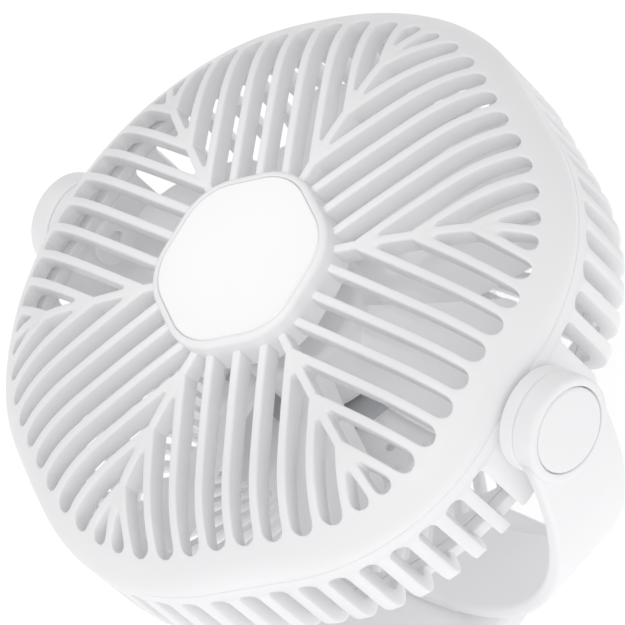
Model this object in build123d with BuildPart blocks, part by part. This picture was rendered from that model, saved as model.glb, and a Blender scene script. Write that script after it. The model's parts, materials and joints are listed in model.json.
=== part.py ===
"""Small desk fan: a round-cornered hexagonal head that tilts in a U-shaped yoke on a slab base.

Frame: +Z up, the fan blows toward -Y when upright, the tilt axis runs along X, and the origin
is on the underside of the base, straight below the tilt axis. Millimetres.
"""
from build123d import *
from math import asin, cos, degrees, radians, sin, sqrt, tan
import os

os.makedirs("parts", exist_ok=True)

# ---- driving sizes: head ----------------------------------------------------------------
HEAD_TILT = 75.0            # how far the head leans back from upright as it is modelled
HEAD_FLAT = 63.5            # centre to the flat of the head's rounded hexagon
HEAD_CORNER = 46.5          # radius that rounds the corners of that hexagon
PARTING = 8.0               # tilt axis to the joint between front grille and rear shell
RIM_HEIGHT = 7.2            # parting line to the plane where the front ribs meet the rim
SHELL_DEPTH = 25.6          # parting line to the flat back of the rear shell
DOME_RISE = 8.1             # how far the front grille bulges at its centre
REAR_ROUND = 9.0            # rounding between the side fins and the back
FRONT_WALL = 2.4            # wall of the front grille's rim
RIB_DEPTH = 4.8             # depth of the front ribs
FIN_DEPTH = 4.6             # radial depth of the side fins
REAR_WALL = 3.0             # thickness of the rear guard
LIP = 1.6                   # height of the locating lip behind the front grille
SLOT_FLOOR = 0.4            # from the top of the lip's shoulder to the lowest cut of the front slots
LIP_WALL = 1.4
SNAP_GAP = 0.15             # clearance between the lip and the wall it fits

# ---- front rib pattern ------------------------------------------------------------------
SECTORS = 6
RIB_PITCH = 6.2             # distance between neighbouring parallel ribs
RIB_WIDTH = 1.9
SLOTS_PER_SECTOR = 10
RIM_BAND = 4.7              # solid band between the slot ends and the outside of the head
HUB_FLAT = 19.2             # centre to the flat of the hub in the middle of the grille
HUB_CORNER = 13.0
HUB_PROUD = 3.5             # top of the hub above the top of the bulge
HUB_RISE = 1.0              # foot of the hub above the front plane
HUB_WALL = 2.0
HUB_ROUND = 1.8
CAP_INSET = 1.5             # width of the lip around the cap that closes the hub
CAP_THICKNESS = 1.6
CAP_GAP = 0.12
CAP_DISH = 0.5              # depth of the shallow dish in the cap

# ---- rear fins and guard ----------------------------------------------------------------
FIN_COUNT = 60
FIN_SLOT = 4.1              # width of the slot between two side fins
PLAIN_ANGLE = 12.0          # half angle left without slots around each pivot
SLOT_SETBACK = 2.9          # from the parting line to the front end of the side slots
GUARD_SLOT_OUTER = 3.4
GUARD_SLOT_INNER = 1.3
GUARD_SWIRL = 24.0          # the guard slots are tangent to a circle of this radius
FIN_FOOT = 1.4              # from the inside of the fins to the ring they stand on
RING_WIDTH = 2.3            # width of that ring
LEDGE = 0.8                 # step of the ring that the guard rests on
GUARD_RIM = 2.1             # plain rim round the guard
GUARD_GAP = 0.1             # clearance round the guard
GUARD_BORDER = 1.5          # plain border of the guard round the bay
SLOT_OVERCUT = 0.4          # the guard slots start this far outside their edge circle

# ---- electronics bay at the back --------------------------------------------------------
BAY_RADIUS = 31.0
BAY_WALL = 2.0
BUTTON_ROOM = 2.2           # between the switch and the cover, for the foot of the button
COVER_THICKNESS = 1.8
BOARD_GAP = 2.0             # clearance between the board and the bay wall
BOARD_THICKNESS = 1.6
BOARD_STANDOFF = 1.6
SCREW_HEAD_SINK = 1.0
POST_RADIUS = 2.4
POST_SINK = 0.6             # cover screw posts sunk into the bay wall
POST_GAP = 0.4              # clearance of the board round those posts
COVER_SCREW_MARGIN = 0.6    # end of the cover screws behind the front of the guard
COVER_SCREW_START = 90.0    # angle of the first cover screw
COVER_SCREWS = 3
BOARD_SCREW_INSET = 7.0
BOARD_SCREW_BITE = 1.0      # board screws into the guard
MOTOR_SCREWS = 3
MOTOR_SCREW_START = 30.0    # angle of the first motor screw
MOTOR_SCREW_INSET = 2.8     # motor screws inside the edge of the flange
COVER_CHAMFER = 0.8
BUTTON_CHAMFER = 0.4
LEAD_WIDTH = 4.0
LEAD_THICKNESS = 0.6
LEAD_INSET = 3.5
LEAD_SLOT = (LEAD_WIDTH + 2.0, LEAD_THICKNESS + 1.2)
LEAD_RISE = 1.0             # top of the lead above the motor flange
LEAD_OVERLAP = 2.0          # end of the lead inside the outside of the stator
SOCKET_SHELL = 0.35
SOCKET_TONGUE = (6.5, 0.7)
SOCKET_BACK = 1.5           # thickness of the closed end of the socket
SOCKET_CORNER_FLAT = 0.1    # flat left between the rounded corners at each end
SOCKET_SETBACK = 0.4        # mouth of the socket inside the outside of the bay wall
BUTTON_RADIUS = 5.0
BUTTON_TRAVEL = 0.5
BUTTON_GAP = 0.25
BUTTON_FLANGE = 1.2
SWITCH_SIZE = (6.0, 6.0, 2.6)
PLUNGER_RADIUS = 1.6
PLUNGER_HEIGHT = 0.5
PLUNGER_BORDER = 0.6        # foot of the button larger than the plunger
BUTTON_PROUD = 1.0
BUTTON_Y = -13.0
SOCKET_SIZE = (9.0, 7.4, 3.2)
SOCKET_GAP = 0.2

# ---- motor and impeller -----------------------------------------------------------------
SHAFT_RADIUS = 1.0
CLIP_RADIUS = 2.2
CLIP_BORE = 0.8
CLIP_THICKNESS = 0.4
RUNNING_GAP = 0.03
BEARING_RADIUS = 3.0
BEARING_LENGTH = 3.0
BEARING_RISE = 1.0          # rear bearing above the guard
SHAFT_RISE = 0.2            # rear end of the shaft above the guard
SHAFT_SHARE = 0.7           # share of the hub nose that the shaft reaches
TUBE_RADIUS = 4.5
TUBE_PROUD = 3.5            # bearing tube above the stator
FLANGE_INSET = 12.0         # motor flange inside the bay wall
FLANGE_THICKNESS = 2.0
STATOR_RADIUS = 10.5
STATOR_HEIGHT = 8.0
STATOR_RING = 6.2
STATOR_RISE = 3.1           # motor flange to the stator
TEETH = 9
TOOTH_WIDTH = 1.6
SHOE_WIDTH = 5.2
SHOE_DEPTH = 1.2
TOOTH_OVERLAP = 0.5         # teeth sunk into the ring of the stator
COIL_BUILD = 0.9
COIL_GAP = 0.3              # ring of the stator to the coils
COIL_SETBACK = 1.4          # outside of the stator to the coils
AIR_GAP = 0.5
MAGNET_THICKNESS = 1.4
MAGNET_OVERHANG = 0.5       # magnets past each end of the stator
CAN_WALL = 0.8
CAN_OVERHANG = 1.0          # open end of the can below the stator
CAN_RISE = 1.6              # bearing tube to the top of the rotor can
HUB_SHELL = 2.0
HUB_NOSE = 2.0
NOSE_ROUND = 0.8            # rounding of the nose as a share of its height
BLADE_SINK = 0.4            # blade roots start outside the can
BLADES = 7
TIP_GAP = 4.4               # blade tips to the inside of the fins
BLADE_THICKNESS = 1.6
ROOT_CHORD = 17.0
TIP_CHORD = 33.0
ROOT_PITCH = 44.0
TIP_PITCH = 24.0
BLADE_CENTRE = -1.5
TIP_LEAN = 6.0              # how far the blade tip leads its root round the circle

# ---- yoke, pivots and base --------------------------------------------------------------
BAND_WIDTH = 21.4
BAND_THICKNESS = 3.2
HEAD_CLEARANCE = 5.67       # between the head's corners and the inside of the yoke
BAND_ROUND = 0.9
PIVOT_GAP = 4.4             # side of the head to the inner face of each round yoke eye
EYE_THICKNESS = 5.1
ARM_SETBACK = 1.2           # outside of each arm behind the outer face of its eye
EYE_FLOOR = 2.0             # thickness left under the recess in the eye
EYE_RIM = 1.8               # rim left round the recess in the eye
EYE_CAP_GAP = 0.3
EYE_CAP_THICKNESS = 1.2
EYE_CAP_SKIRT = 1.0
COLLAR_SETBACK = 0.1        # collar smaller than the eye
PAD_SETBACK = 1.2           # pad on the shell smaller than the collar
PAD_PROUD = 0.9
WASHER_THICKNESS = 0.25
FACE_GAP = 0.05             # between flat faces that turn against each other
PIVOT_BOLT_RADIUS = 2.0
BOLT_HEAD_RADIUS = 4.4
BOLT_HEAD_HEIGHT = 1.5
DRIVE_BORDER = 1.2          # edge of the bolt head to the end of its cross
DRIVE_WIDTH = 1.0
BOLT_END_GAP = 1.75         # end of the bolt to the inner end of its boss
BOSS_RADIUS = 5.5
BOSS_STEP = 1.3             # inner end of each pivot boss inside the fins
SPRING_WASHER = 0.4
BASE_REAR = 18.0            # tilt axis to the rear edge of the base
BASE_FRONT = 66.0           # tilt axis to the front edge of the base
BASE_REAR_HALF = 23.0
BASE_FRONT_HALF = 33.0
BASE_CORNER = 7.0
BASE_THICKNESS = 5.0
BASE_ROUND = 1.8
PAD_THICKNESS = 1.0
PAD_INSET = 2.4
WEIGHT_BORDER = 9.0         # front edge of the base to the weight
WEIGHT_REAR = 6.3           # edge of the yoke band to the weight
WEIGHT_THICKNESS = 2.2
WEIGHT_GAP = 0.2
WEIGHT_SIDE = 2.0           # rear corner of the base to the side of the weight
SADDLE_HALF = 15.0
BASE_SCREW_SPACING = (18.0, 10.0)
BASE_SCREW_RADIUS = 1.5
BASE_SCREW_HEAD = 2.8
BASE_HEAD_GAP = 0.1         # clearance round and above the heads of the base screws
BASE_SCREW_MARGIN = 0.6     # end of the base screws below the top of the band
EYE_ROUND = 0.8
EYE_CAP_ROUND = 0.5
EYE_CAP_PROUD = 0.1
COLLAR_ROUND = 0.6
WASHER_SETBACK = 1.6        # washer smaller than the collar
SCREW_RADIUS = 1.2
SCREW_HEAD = 2.1
SCREW_HEAD_HEIGHT = 1.3

# ---- sizes that follow ------------------------------------------------------------------
HALF_SECTOR = 180.0 / SECTORS
CORNER_REACH = (HEAD_FLAT - HEAD_CORNER) / cos(radians(HALF_SECTOR)) + HEAD_CORNER
YOKE_DROP = CORNER_REACH + HEAD_CLEARANCE + BAND_THICKNESS
PIVOT_HEIGHT = YOKE_DROP + BASE_THICKNESS + PAD_THICKNESS
head = Plane(
    origin=(0, 0, PIVOT_HEIGHT),
    x_dir=(1, 0, 0),
    z_dir=(0, -cos(radians(HEAD_TILT)), sin(radians(HEAD_TILT))),
)
head_side = Plane(origin=head.origin, x_dir=head.x_dir, z_dir=-head.y_dir)
sides = {"right": 1, "left": -1}
head_axis = Axis(head.origin, head.z_dir)
FRONT_PLANE = PARTING + RIM_HEIGHT
REAR_PLANE = PARTING - SHELL_DEPTH
HUB_TOP = FRONT_PLANE + DOME_RISE + HUB_PROUD
HUB_FOOT = FRONT_PLANE + HUB_RISE
LIP_INNER = FIN_DEPTH + SNAP_GAP + LIP_WALL
GUARD_END = BAY_RADIUS + GUARD_BORDER
FIN_EDGE = HEAD_FLAT - FIN_DEPTH - FIN_FOOT
GUARD_RADIUS = FIN_EDGE - RING_WIDTH - GUARD_GAP
GUARD_EDGE = GUARD_RADIUS - GUARD_RIM
SLOT_WIDTH = RIB_PITCH - RIB_WIDTH
FIN_ANGLE = 360.0 / FIN_COUNT
BAY_FLOOR = REAR_PLANE
BAY_DEPTH = BOARD_STANDOFF + BOARD_THICKNESS + SWITCH_SIZE[2] + PLUNGER_HEIGHT + BUTTON_ROOM
BAY_BACK = BAY_FLOOR - BAY_DEPTH
BOARD_RADIUS = BAY_RADIUS - BAY_WALL - BOARD_GAP
BOARD_SCREW_CIRCLE = BOARD_RADIUS - BOARD_SCREW_INSET
BOARD_FRONT = BAY_FLOOR - BOARD_STANDOFF
MAGNET_INNER = STATOR_RADIUS + AIR_GAP
CAN_INNER = MAGNET_INNER + MAGNET_THICKNESS
IMPELLER_HUB = CAN_INNER + CAN_WALL + HUB_SHELL
COLLAR_INNER = HEAD_FLAT + PAD_PROUD
EYE_INNER = HEAD_FLAT + PIVOT_GAP
EYE_OUTER = EYE_INNER + EYE_THICKNESS
YOKE_HALF_WIDTH = EYE_OUTER - ARM_SETBACK
COLLAR_OUTER = EYE_INNER - FACE_GAP - WASHER_THICKNESS
EYE_RADIUS = BAND_WIDTH / 2
EYE_CAP_RADIUS = EYE_RADIUS - EYE_RIM - EYE_CAP_GAP
COLLAR_RADIUS = EYE_RADIUS - COLLAR_SETBACK
PAD_RADIUS = COLLAR_RADIUS - PAD_SETBACK
WASHER_RADIUS = COLLAR_RADIUS - WASHER_SETBACK
BOSS_INNER = HEAD_FLAT - FIN_DEPTH - BOSS_STEP
BLADE_TIP = HEAD_FLAT - FIN_DEPTH - TIP_GAP
RECESS_FLOOR = EYE_INNER + EYE_FLOOR
FLANGE_RADIUS = BAY_RADIUS - FLANGE_INSET
SCREW_CIRCLE = FLANGE_RADIUS - MOTOR_SCREW_INSET
LEAD_RADIUS = FLANGE_RADIUS - LEAD_INSET
BOARD_BACK = BOARD_FRONT - BOARD_THICKNESS
PLATE_FRONT = REAR_PLANE + REAR_WALL
GUARD_SEAT = REAR_PLANE + REAR_WALL / 2
COVER_SCREW_SEAT = BAY_BACK - COVER_THICKNESS + SCREW_HEAD_SINK
COVER_SCREW_LENGTH = PLATE_FRONT - COVER_SCREW_SEAT - COVER_SCREW_MARGIN
FLANGE_FRONT = PLATE_FRONT + FLANGE_THICKNESS
STATOR_BASE = FLANGE_FRONT + STATOR_RISE
TUBE_TOP = STATOR_BASE + STATOR_HEIGHT + TUBE_PROUD
CAN_TOP = TUBE_TOP + CAN_RISE
CAN_BOTTOM = STATOR_BASE - CAN_OVERHANG
PLUNGER_BACK = BOARD_BACK - SWITCH_SIZE[2] - PLUNGER_HEIGHT
SOCKET_MOUTH = -BAY_RADIUS + SOCKET_SETBACK
COVER_SCREW_CIRCLE = BAY_RADIUS - BAY_WALL - POST_RADIUS + POST_SINK
SHAFT_BOTTOM = PLATE_FRONT + SHAFT_RISE
SHAFT_TOP = CAN_TOP + HUB_NOSE * SHAFT_SHARE
COIL_INNER = STATOR_RING + COIL_GAP
COIL_OUTER = STATOR_RADIUS - COIL_SETBACK
ROOT_RADIUS = CAN_INNER + CAN_WALL + BLADE_SINK
CAP_BACK = EYE_OUTER - EYE_CAP_THICKNESS + EYE_CAP_PROUD
BOLT_SEAT = RECESS_FLOOR + FACE_GAP + SPRING_WASHER
BOLT_LENGTH = BOLT_SEAT - BOSS_INNER - BOLT_END_GAP
BASE_TOP = PAD_THICKNESS + BASE_THICKNESS
BASE_SCREW_SEAT = PAD_THICKNESS + SCREW_HEAD_HEIGHT + BASE_HEAD_GAP
BASE_SCREW_END = BASE_TOP + BAND_THICKNESS - BASE_SCREW_MARGIN
WEIGHT_LENGTH = BASE_FRONT - WEIGHT_BORDER - BAND_WIDTH / 2 - WEIGHT_REAR
WEIGHT_SIZE = (2 * (BASE_REAR_HALF - WEIGHT_SIDE), WEIGHT_LENGTH)
WEIGHT_CENTRE = WEIGHT_BORDER + WEIGHT_LENGTH / 2 - BASE_FRONT


def save(builder, label):
    """Name one finished piece and write it to its own file."""
    builder.part.label = label
    export_step(builder.part, f"parts/{label}.step")


def side_plane(side, distance):
    """Plane square to the tilt axis, this far out on one side, facing outward."""
    return Plane(origin=(side * distance, 0, PIVOT_HEIGHT), x_dir=(0, side, 0), z_dir=(side, 0, 0))


def rounded_hexagon(flat, corner):
    """Hexagon with a corner at the end of every spine, its corners rounded to arcs."""
    with BuildSketch() as outline:
        RegularPolygon(flat, SECTORS, major_radius=False, rotation=HALF_SECTOR)
        fillet(outline.vertices(), corner)
    return outline.sketch


def dome_section(drop):
    """Half section of the space under the grille's bulge, lowered by drop."""
    top = FRONT_PLANE + DOME_RISE - drop
    side = CORNER_REACH + 1.0
    foot = FRONT_PLANE - 0.85 * DOME_RISE - drop
    with BuildSketch() as section:
        with BuildLine():
            Spline(
                (0, top),
                (0.42 * CORNER_REACH, top - 0.04 * DOME_RISE),
                (0.61 * CORNER_REACH, top - 0.14 * DOME_RISE),
                (0.80 * CORNER_REACH, top - 0.42 * DOME_RISE),
                (0.92 * CORNER_REACH, FRONT_PLANE - drop),
                (side, foot),
                tangents=((1, 0), (0.3, -1)),
            )
            Polyline((side, foot), (side, PARTING - 9), (0, PARTING - 9), (0, top))
        make_face()
    return section.sketch


def slot_end(across):
    """Distance along a sector's axis to the end of the slot that lies this far from it."""
    flat = HEAD_FLAT - RIM_BAND
    corner = HEAD_CORNER - RIM_BAND
    centre_y = (flat - corner) * tan(radians(HALF_SECTOR))
    if abs(across) < centre_y:
        return flat
    return flat - corner + sqrt(corner ** 2 - (abs(across) - centre_y) ** 2)


# ---- front grille: domed ribs in six sectors, joined by six spines ----------------------
with BuildSketch() as sector_slots:
    for index in range(SLOTS_PER_SECTOR):
        across = (index - (SLOTS_PER_SECTOR - 1) / 2) * RIB_PITCH
        with Locations((slot_end(across) / 2, across)):
            SlotOverall(slot_end(across), SLOT_WIDTH)
    with BuildLine():
        wedge = 2 * CORNER_REACH
        spread = wedge * tan(radians(HALF_SECTOR))
        Polyline((RIB_WIDTH, 0), (RIB_WIDTH + wedge, spread), (RIB_WIDTH + wedge, -spread), close=True)
    make_face(mode=Mode.INTERSECT)

with BuildPart() as grille_cavity:
    with BuildSketch(head.offset(PARTING - 1)):
        add(rounded_hexagon(HEAD_FLAT - FRONT_WALL, HEAD_CORNER - FRONT_WALL))
    extrude(amount=2 * FRONT_PLANE)
    with BuildSketch(head_side):
        add(dome_section(RIB_DEPTH))
    revolve(axis=head_axis, mode=Mode.INTERSECT)

with BuildPart() as front_grille:
    with BuildSketch(head.offset(PARTING)):
        add(rounded_hexagon(HEAD_FLAT, HEAD_CORNER))
    extrude(amount=2 * FRONT_PLANE)
    with BuildSketch(head_side):
        add(dome_section(0))
    revolve(axis=head_axis, mode=Mode.INTERSECT)
    add(grille_cavity.part, mode=Mode.SUBTRACT)
    # shoulder and locating lip at the parting line
    with BuildSketch(head.offset(PARTING)):
        add(rounded_hexagon(HEAD_FLAT - FRONT_WALL / 2, HEAD_CORNER - FRONT_WALL / 2))
        add(rounded_hexagon(HEAD_FLAT - LIP_INNER, HEAD_CORNER - LIP_INNER), mode=Mode.SUBTRACT)
    extrude(amount=LIP)
    with BuildSketch(head.offset(PARTING - LIP)):
        add(rounded_hexagon(HEAD_FLAT - FIN_DEPTH - SNAP_GAP, HEAD_CORNER - FIN_DEPTH - SNAP_GAP))
        add(rounded_hexagon(HEAD_FLAT - LIP_INNER, HEAD_CORNER - LIP_INNER), mode=Mode.SUBTRACT)
    extrude(amount=LIP)
    # ribs are what is left between the slots
    with BuildSketch(head.offset(PARTING + LIP + SLOT_FLOOR)):
        with PolarLocations(0, SECTORS):
            add(sector_slots.sketch)
        add(rounded_hexagon(HUB_FLAT, HUB_CORNER), mode=Mode.SUBTRACT)
    extrude(amount=2 * FRONT_PLANE, mode=Mode.SUBTRACT)
    # hub bowl
    with BuildSketch(head.offset(HUB_FOOT)):
        add(rounded_hexagon(HUB_FLAT, HUB_CORNER))
    extrude(amount=HUB_TOP - HUB_FOOT)
    fillet(front_grille.faces().sort_by(head_axis)[-1].edges(), HUB_ROUND)
    with BuildSketch(head.offset(HUB_FOOT)):
        add(rounded_hexagon(HUB_FLAT - HUB_WALL - CAP_INSET, HUB_CORNER - HUB_WALL - CAP_INSET))
    extrude(amount=HUB_TOP - HUB_FOOT, mode=Mode.SUBTRACT)
    with BuildSketch(head.offset(HUB_TOP - CAP_THICKNESS)):
        add(rounded_hexagon(HUB_FLAT - CAP_INSET, HUB_CORNER - CAP_INSET))
    extrude(amount=CAP_THICKNESS, mode=Mode.SUBTRACT)
save(front_grille, "front_grille")

with BuildPart() as hub_cap:
    with BuildSketch(head.offset(HUB_TOP - CAP_THICKNESS)):
        add(rounded_hexagon(HUB_FLAT - CAP_INSET - CAP_GAP, HUB_CORNER - CAP_INSET - CAP_GAP))
    extrude(amount=CAP_THICKNESS)
    dish_radius = (HUB_FLAT ** 2 + CAP_DISH ** 2) / (2 * CAP_DISH)
    with Locations(head.offset(HUB_TOP + dish_radius - CAP_DISH)):
        Sphere(dish_radius, mode=Mode.SUBTRACT)
save(hub_cap, "hub_cap")

# ---- rear shell: fins round the side, standing on the ring that holds the guard ---------
with BuildPart() as shell_cavity:
    with BuildSketch(head.offset(REAR_PLANE + REAR_WALL)):
        add(rounded_hexagon(HEAD_FLAT - FIN_DEPTH, HEAD_CORNER - FIN_DEPTH))
    extrude(amount=PARTING - REAR_PLANE)
    fillet(shell_cavity.faces().sort_by(head_axis)[0].edges(), REAR_ROUND - FIN_DEPTH)

with BuildSketch() as side_slots:
    first = FIN_ANGLE * (int(PLAIN_ANGLE / FIN_ANGLE) + 0.5)
    count = int(round((180 - 2 * first) / FIN_ANGLE)) + 1
    for start in (first, 180 + first):
        with PolarLocations(FIN_EDGE + 8, count, start_angle=start, angular_range=180 - 2 * first,
                            endpoint=True):
            Rectangle(16, FIN_SLOT)

with BuildPart() as rear_shell:
    with BuildSketch(head.offset(REAR_PLANE)):
        add(rounded_hexagon(HEAD_FLAT, HEAD_CORNER))
    extrude(amount=PARTING - REAR_PLANE)
    fillet(rear_shell.faces().sort_by(head_axis)[0].edges(), REAR_ROUND)
    add(shell_cavity.part, mode=Mode.SUBTRACT)
    with BuildSketch(head.offset(REAR_PLANE - 1)):
        add(side_slots.sketch)
    extrude(amount=PARTING - SLOT_SETBACK - REAR_PLANE + 1, mode=Mode.SUBTRACT)
    # opening for the guard, with the ledge that it rests on
    with BuildSketch(head.offset(GUARD_SEAT)):
        Circle(GUARD_RADIUS + GUARD_GAP)
    extrude(amount=REAR_WALL, mode=Mode.SUBTRACT)
    with BuildSketch(head.offset(REAR_PLANE)):
        Circle(GUARD_RADIUS + GUARD_GAP - LEDGE)
    extrude(amount=REAR_WALL, mode=Mode.SUBTRACT)
    # bosses inside and flat pads outside that carry the two pivots
    for side in sides.values():
        with BuildSketch(side_plane(side, BOSS_INNER)):
            Circle(BOSS_RADIUS)
        extrude(amount=COLLAR_INNER - BOSS_INNER)
        with BuildSketch(side_plane(side, HEAD_FLAT - FIN_DEPTH / 2)):
            Circle(PAD_RADIUS)
        extrude(amount=COLLAR_INNER - HEAD_FLAT + FIN_DEPTH / 2)
        with BuildSketch(side_plane(side, BOSS_INNER)):
            Circle(PIVOT_BOLT_RADIUS)
        extrude(amount=COLLAR_INNER - BOSS_INNER, mode=Mode.SUBTRACT)
    with BuildSketch(head.offset(PARTING)):
        Rectangle(3 * HEAD_FLAT, 3 * HEAD_FLAT)
    extrude(amount=PAD_RADIUS, mode=Mode.SUBTRACT)
save(rear_shell, "rear_shell")

# ---- rear guard: swirled slots round a plain plate, dropped in from the front -----------
with BuildSketch() as guard_slots:
    swirl = degrees(asin(GUARD_SWIRL / GUARD_EDGE))
    run = sqrt(GUARD_EDGE ** 2 - GUARD_SWIRL ** 2) - sqrt(GUARD_END ** 2 - GUARD_SWIRL ** 2)
    with PolarLocations(GUARD_EDGE, FIN_COUNT, start_angle=FIN_ANGLE / 2):
        with Locations(Location((0, 0, 0), (0, 0, 180 - swirl))):
            Polygon(
                (-SLOT_OVERCUT, GUARD_SLOT_OUTER / 2),
                (run, GUARD_SLOT_INNER / 2),
                (run, -GUARD_SLOT_INNER / 2),
                (-SLOT_OVERCUT, -GUARD_SLOT_OUTER / 2),
                align=None,
            )

with BuildPart() as rear_guard:
    with BuildSketch(head.offset(REAR_PLANE)):
        Circle(GUARD_RADIUS - LEDGE)
    extrude(amount=REAR_WALL)
    with BuildSketch(head.offset(GUARD_SEAT)):
        Circle(GUARD_RADIUS)
    extrude(amount=PLATE_FRONT - GUARD_SEAT)
    with BuildSketch(head.offset(REAR_PLANE)):
        add(guard_slots.sketch)
        with PolarLocations(COVER_SCREW_CIRCLE, COVER_SCREWS, start_angle=COVER_SCREW_START):
            Circle(SCREW_RADIUS)
        with PolarLocations(SCREW_CIRCLE, MOTOR_SCREWS, start_angle=MOTOR_SCREW_START):
            Circle(SCREW_RADIUS)
        with Locations((0, LEAD_RADIUS)):
            SlotOverall(*LEAD_SLOT)
    extrude(amount=REAR_WALL, mode=Mode.SUBTRACT)
    # posts for the board
    with BuildSketch(head.offset(BOARD_FRONT)):
        with PolarLocations(BOARD_SCREW_CIRCLE, 2):
            Circle(POST_RADIUS)
    extrude(amount=BOARD_STANDOFF)
    with BuildSketch(head.offset(BOARD_FRONT)):
        with PolarLocations(BOARD_SCREW_CIRCLE, 2):
            Circle(SCREW_RADIUS)
    extrude(amount=BOARD_STANDOFF + REAR_WALL, mode=Mode.SUBTRACT)
save(rear_guard, "rear_guard")

# ---- bay wall: ring and posts between the guard and the cover ---------------------------
with BuildPart() as bay_wall:
    with BuildSketch(head.offset(BAY_BACK)):
        Circle(BAY_RADIUS)
        Circle(BAY_RADIUS - BAY_WALL, mode=Mode.SUBTRACT)
        with PolarLocations(COVER_SCREW_CIRCLE, COVER_SCREWS, start_angle=COVER_SCREW_START):
            Circle(POST_RADIUS)
            Circle(SCREW_RADIUS, mode=Mode.SUBTRACT)
    extrude(amount=BAY_DEPTH)
    # window for the charging socket in its lower side
    with BuildSketch(head.offset(BOARD_BACK - SOCKET_SIZE[2] - SOCKET_GAP)):
        with Locations((0, -BAY_RADIUS)):
            Rectangle(SOCKET_SIZE[0] + 2 * SOCKET_GAP, 4 * BAY_WALL)
    extrude(amount=SOCKET_SIZE[2] + 2 * SOCKET_GAP, mode=Mode.SUBTRACT)
save(bay_wall, "bay_wall")

with BuildPart() as rear_cover:
    with BuildSketch(head.offset(BAY_BACK - COVER_THICKNESS)):
        Circle(BAY_RADIUS)
        with Locations((0, BUTTON_Y)):
            Circle(BUTTON_RADIUS + BUTTON_GAP, mode=Mode.SUBTRACT)
        with PolarLocations(COVER_SCREW_CIRCLE, COVER_SCREWS, start_angle=COVER_SCREW_START):
            Circle(SCREW_RADIUS, mode=Mode.SUBTRACT)
    extrude(amount=COVER_THICKNESS)
    with BuildSketch(head.offset(BAY_BACK - COVER_THICKNESS)):
        with PolarLocations(COVER_SCREW_CIRCLE, COVER_SCREWS, start_angle=COVER_SCREW_START):
            Circle(SCREW_HEAD)
    extrude(amount=SCREW_HEAD_SINK, mode=Mode.SUBTRACT)
    back_circles = rear_cover.faces().sort_by(head_axis)[0].edges().filter_by(GeomType.CIRCLE)
    chamfer(back_circles.sort_by(SortBy.RADIUS)[-1], COVER_CHAMFER)
save(rear_cover, "rear_cover")


def screws(plane, spots, shank, shank_length, head_radius, head_height, label):
    """Group of equal screws: heads above the plane, shanks below it, along its normal."""
    with BuildPart() as group:
        with BuildSketch(plane):
            add(spots)
        extrude(amount=head_height)
        with BuildSketch(plane):
            for face in spots.faces():
                with Locations(face.center()):
                    Circle(shank)
        extrude(amount=-shank_length)
    save(group, label)


cover_screw_plane = Plane(
    origin=head.offset(COVER_SCREW_SEAT).origin, x_dir=head.x_dir, z_dir=-head.z_dir
)
with BuildSketch() as flipped_cover_heads:
    with PolarLocations(COVER_SCREW_CIRCLE, COVER_SCREWS, start_angle=-COVER_SCREW_START):
        Circle(SCREW_HEAD)
screws(cover_screw_plane, flipped_cover_heads.sketch, SCREW_RADIUS, COVER_SCREW_LENGTH, SCREW_HEAD,
       SCREW_HEAD_SINK, "cover_screws")

# ---- electronics: board, switch, button, socket and the motor lead ----------------------
with BuildPart() as circuit_board:
    with BuildSketch(head.offset(BOARD_BACK)):
        Circle(BOARD_RADIUS)
        with PolarLocations(COVER_SCREW_CIRCLE, COVER_SCREWS, start_angle=COVER_SCREW_START):
            Circle(POST_RADIUS + POST_GAP, mode=Mode.SUBTRACT)
        with PolarLocations(BOARD_SCREW_CIRCLE, 2):
            Circle(SCREW_RADIUS, mode=Mode.SUBTRACT)
    extrude(amount=BOARD_THICKNESS)
save(circuit_board, "circuit_board")

with BuildSketch() as board_screw_heads:
    with PolarLocations(BOARD_SCREW_CIRCLE, 2):
        Circle(SCREW_HEAD)
board_screw_plane = Plane(origin=head.offset(BOARD_BACK).origin, x_dir=head.x_dir, z_dir=-head.z_dir)
screws(board_screw_plane, board_screw_heads.sketch, SCREW_RADIUS,
       BOARD_THICKNESS + BOARD_STANDOFF + BOARD_SCREW_BITE, SCREW_HEAD, SCREW_HEAD_HEIGHT,
       "board_screws")

with BuildPart() as speed_switch:
    with BuildSketch(head.offset(BOARD_BACK - SWITCH_SIZE[2])):
        with Locations((0, BUTTON_Y)):
            Rectangle(SWITCH_SIZE[0], SWITCH_SIZE[1])
    extrude(amount=SWITCH_SIZE[2])
    with BuildSketch(head.offset(PLUNGER_BACK)):
        with Locations((0, BUTTON_Y)):
            Circle(PLUNGER_RADIUS)
    extrude(amount=PLUNGER_HEIGHT)
save(speed_switch, "speed_switch")

with BuildPart() as speed_button:
    with BuildSketch(head.offset(BAY_BACK - COVER_THICKNESS - BUTTON_PROUD)):
        with Locations((0, BUTTON_Y)):
            Circle(BUTTON_RADIUS)
    extrude(amount=BUTTON_PROUD + COVER_THICKNESS + FACE_GAP)
    chamfer(speed_button.faces().sort_by(head_axis)[0].edges(), BUTTON_CHAMFER)
    with BuildSketch(head.offset(BAY_BACK + FACE_GAP)):
        with Locations((0, BUTTON_Y)):
            Circle(BUTTON_RADIUS + BUTTON_FLANGE)
    extrude(amount=BUTTON_FLANGE)
    with BuildSketch(head.offset(BAY_BACK + FACE_GAP)):
        with Locations((0, BUTTON_Y)):
            Circle(PLUNGER_RADIUS + PLUNGER_BORDER)
    extrude(amount=PLUNGER_BACK - BUTTON_TRAVEL - FACE_GAP - BAY_BACK - FACE_GAP)
save(speed_button, "speed_button")

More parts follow.
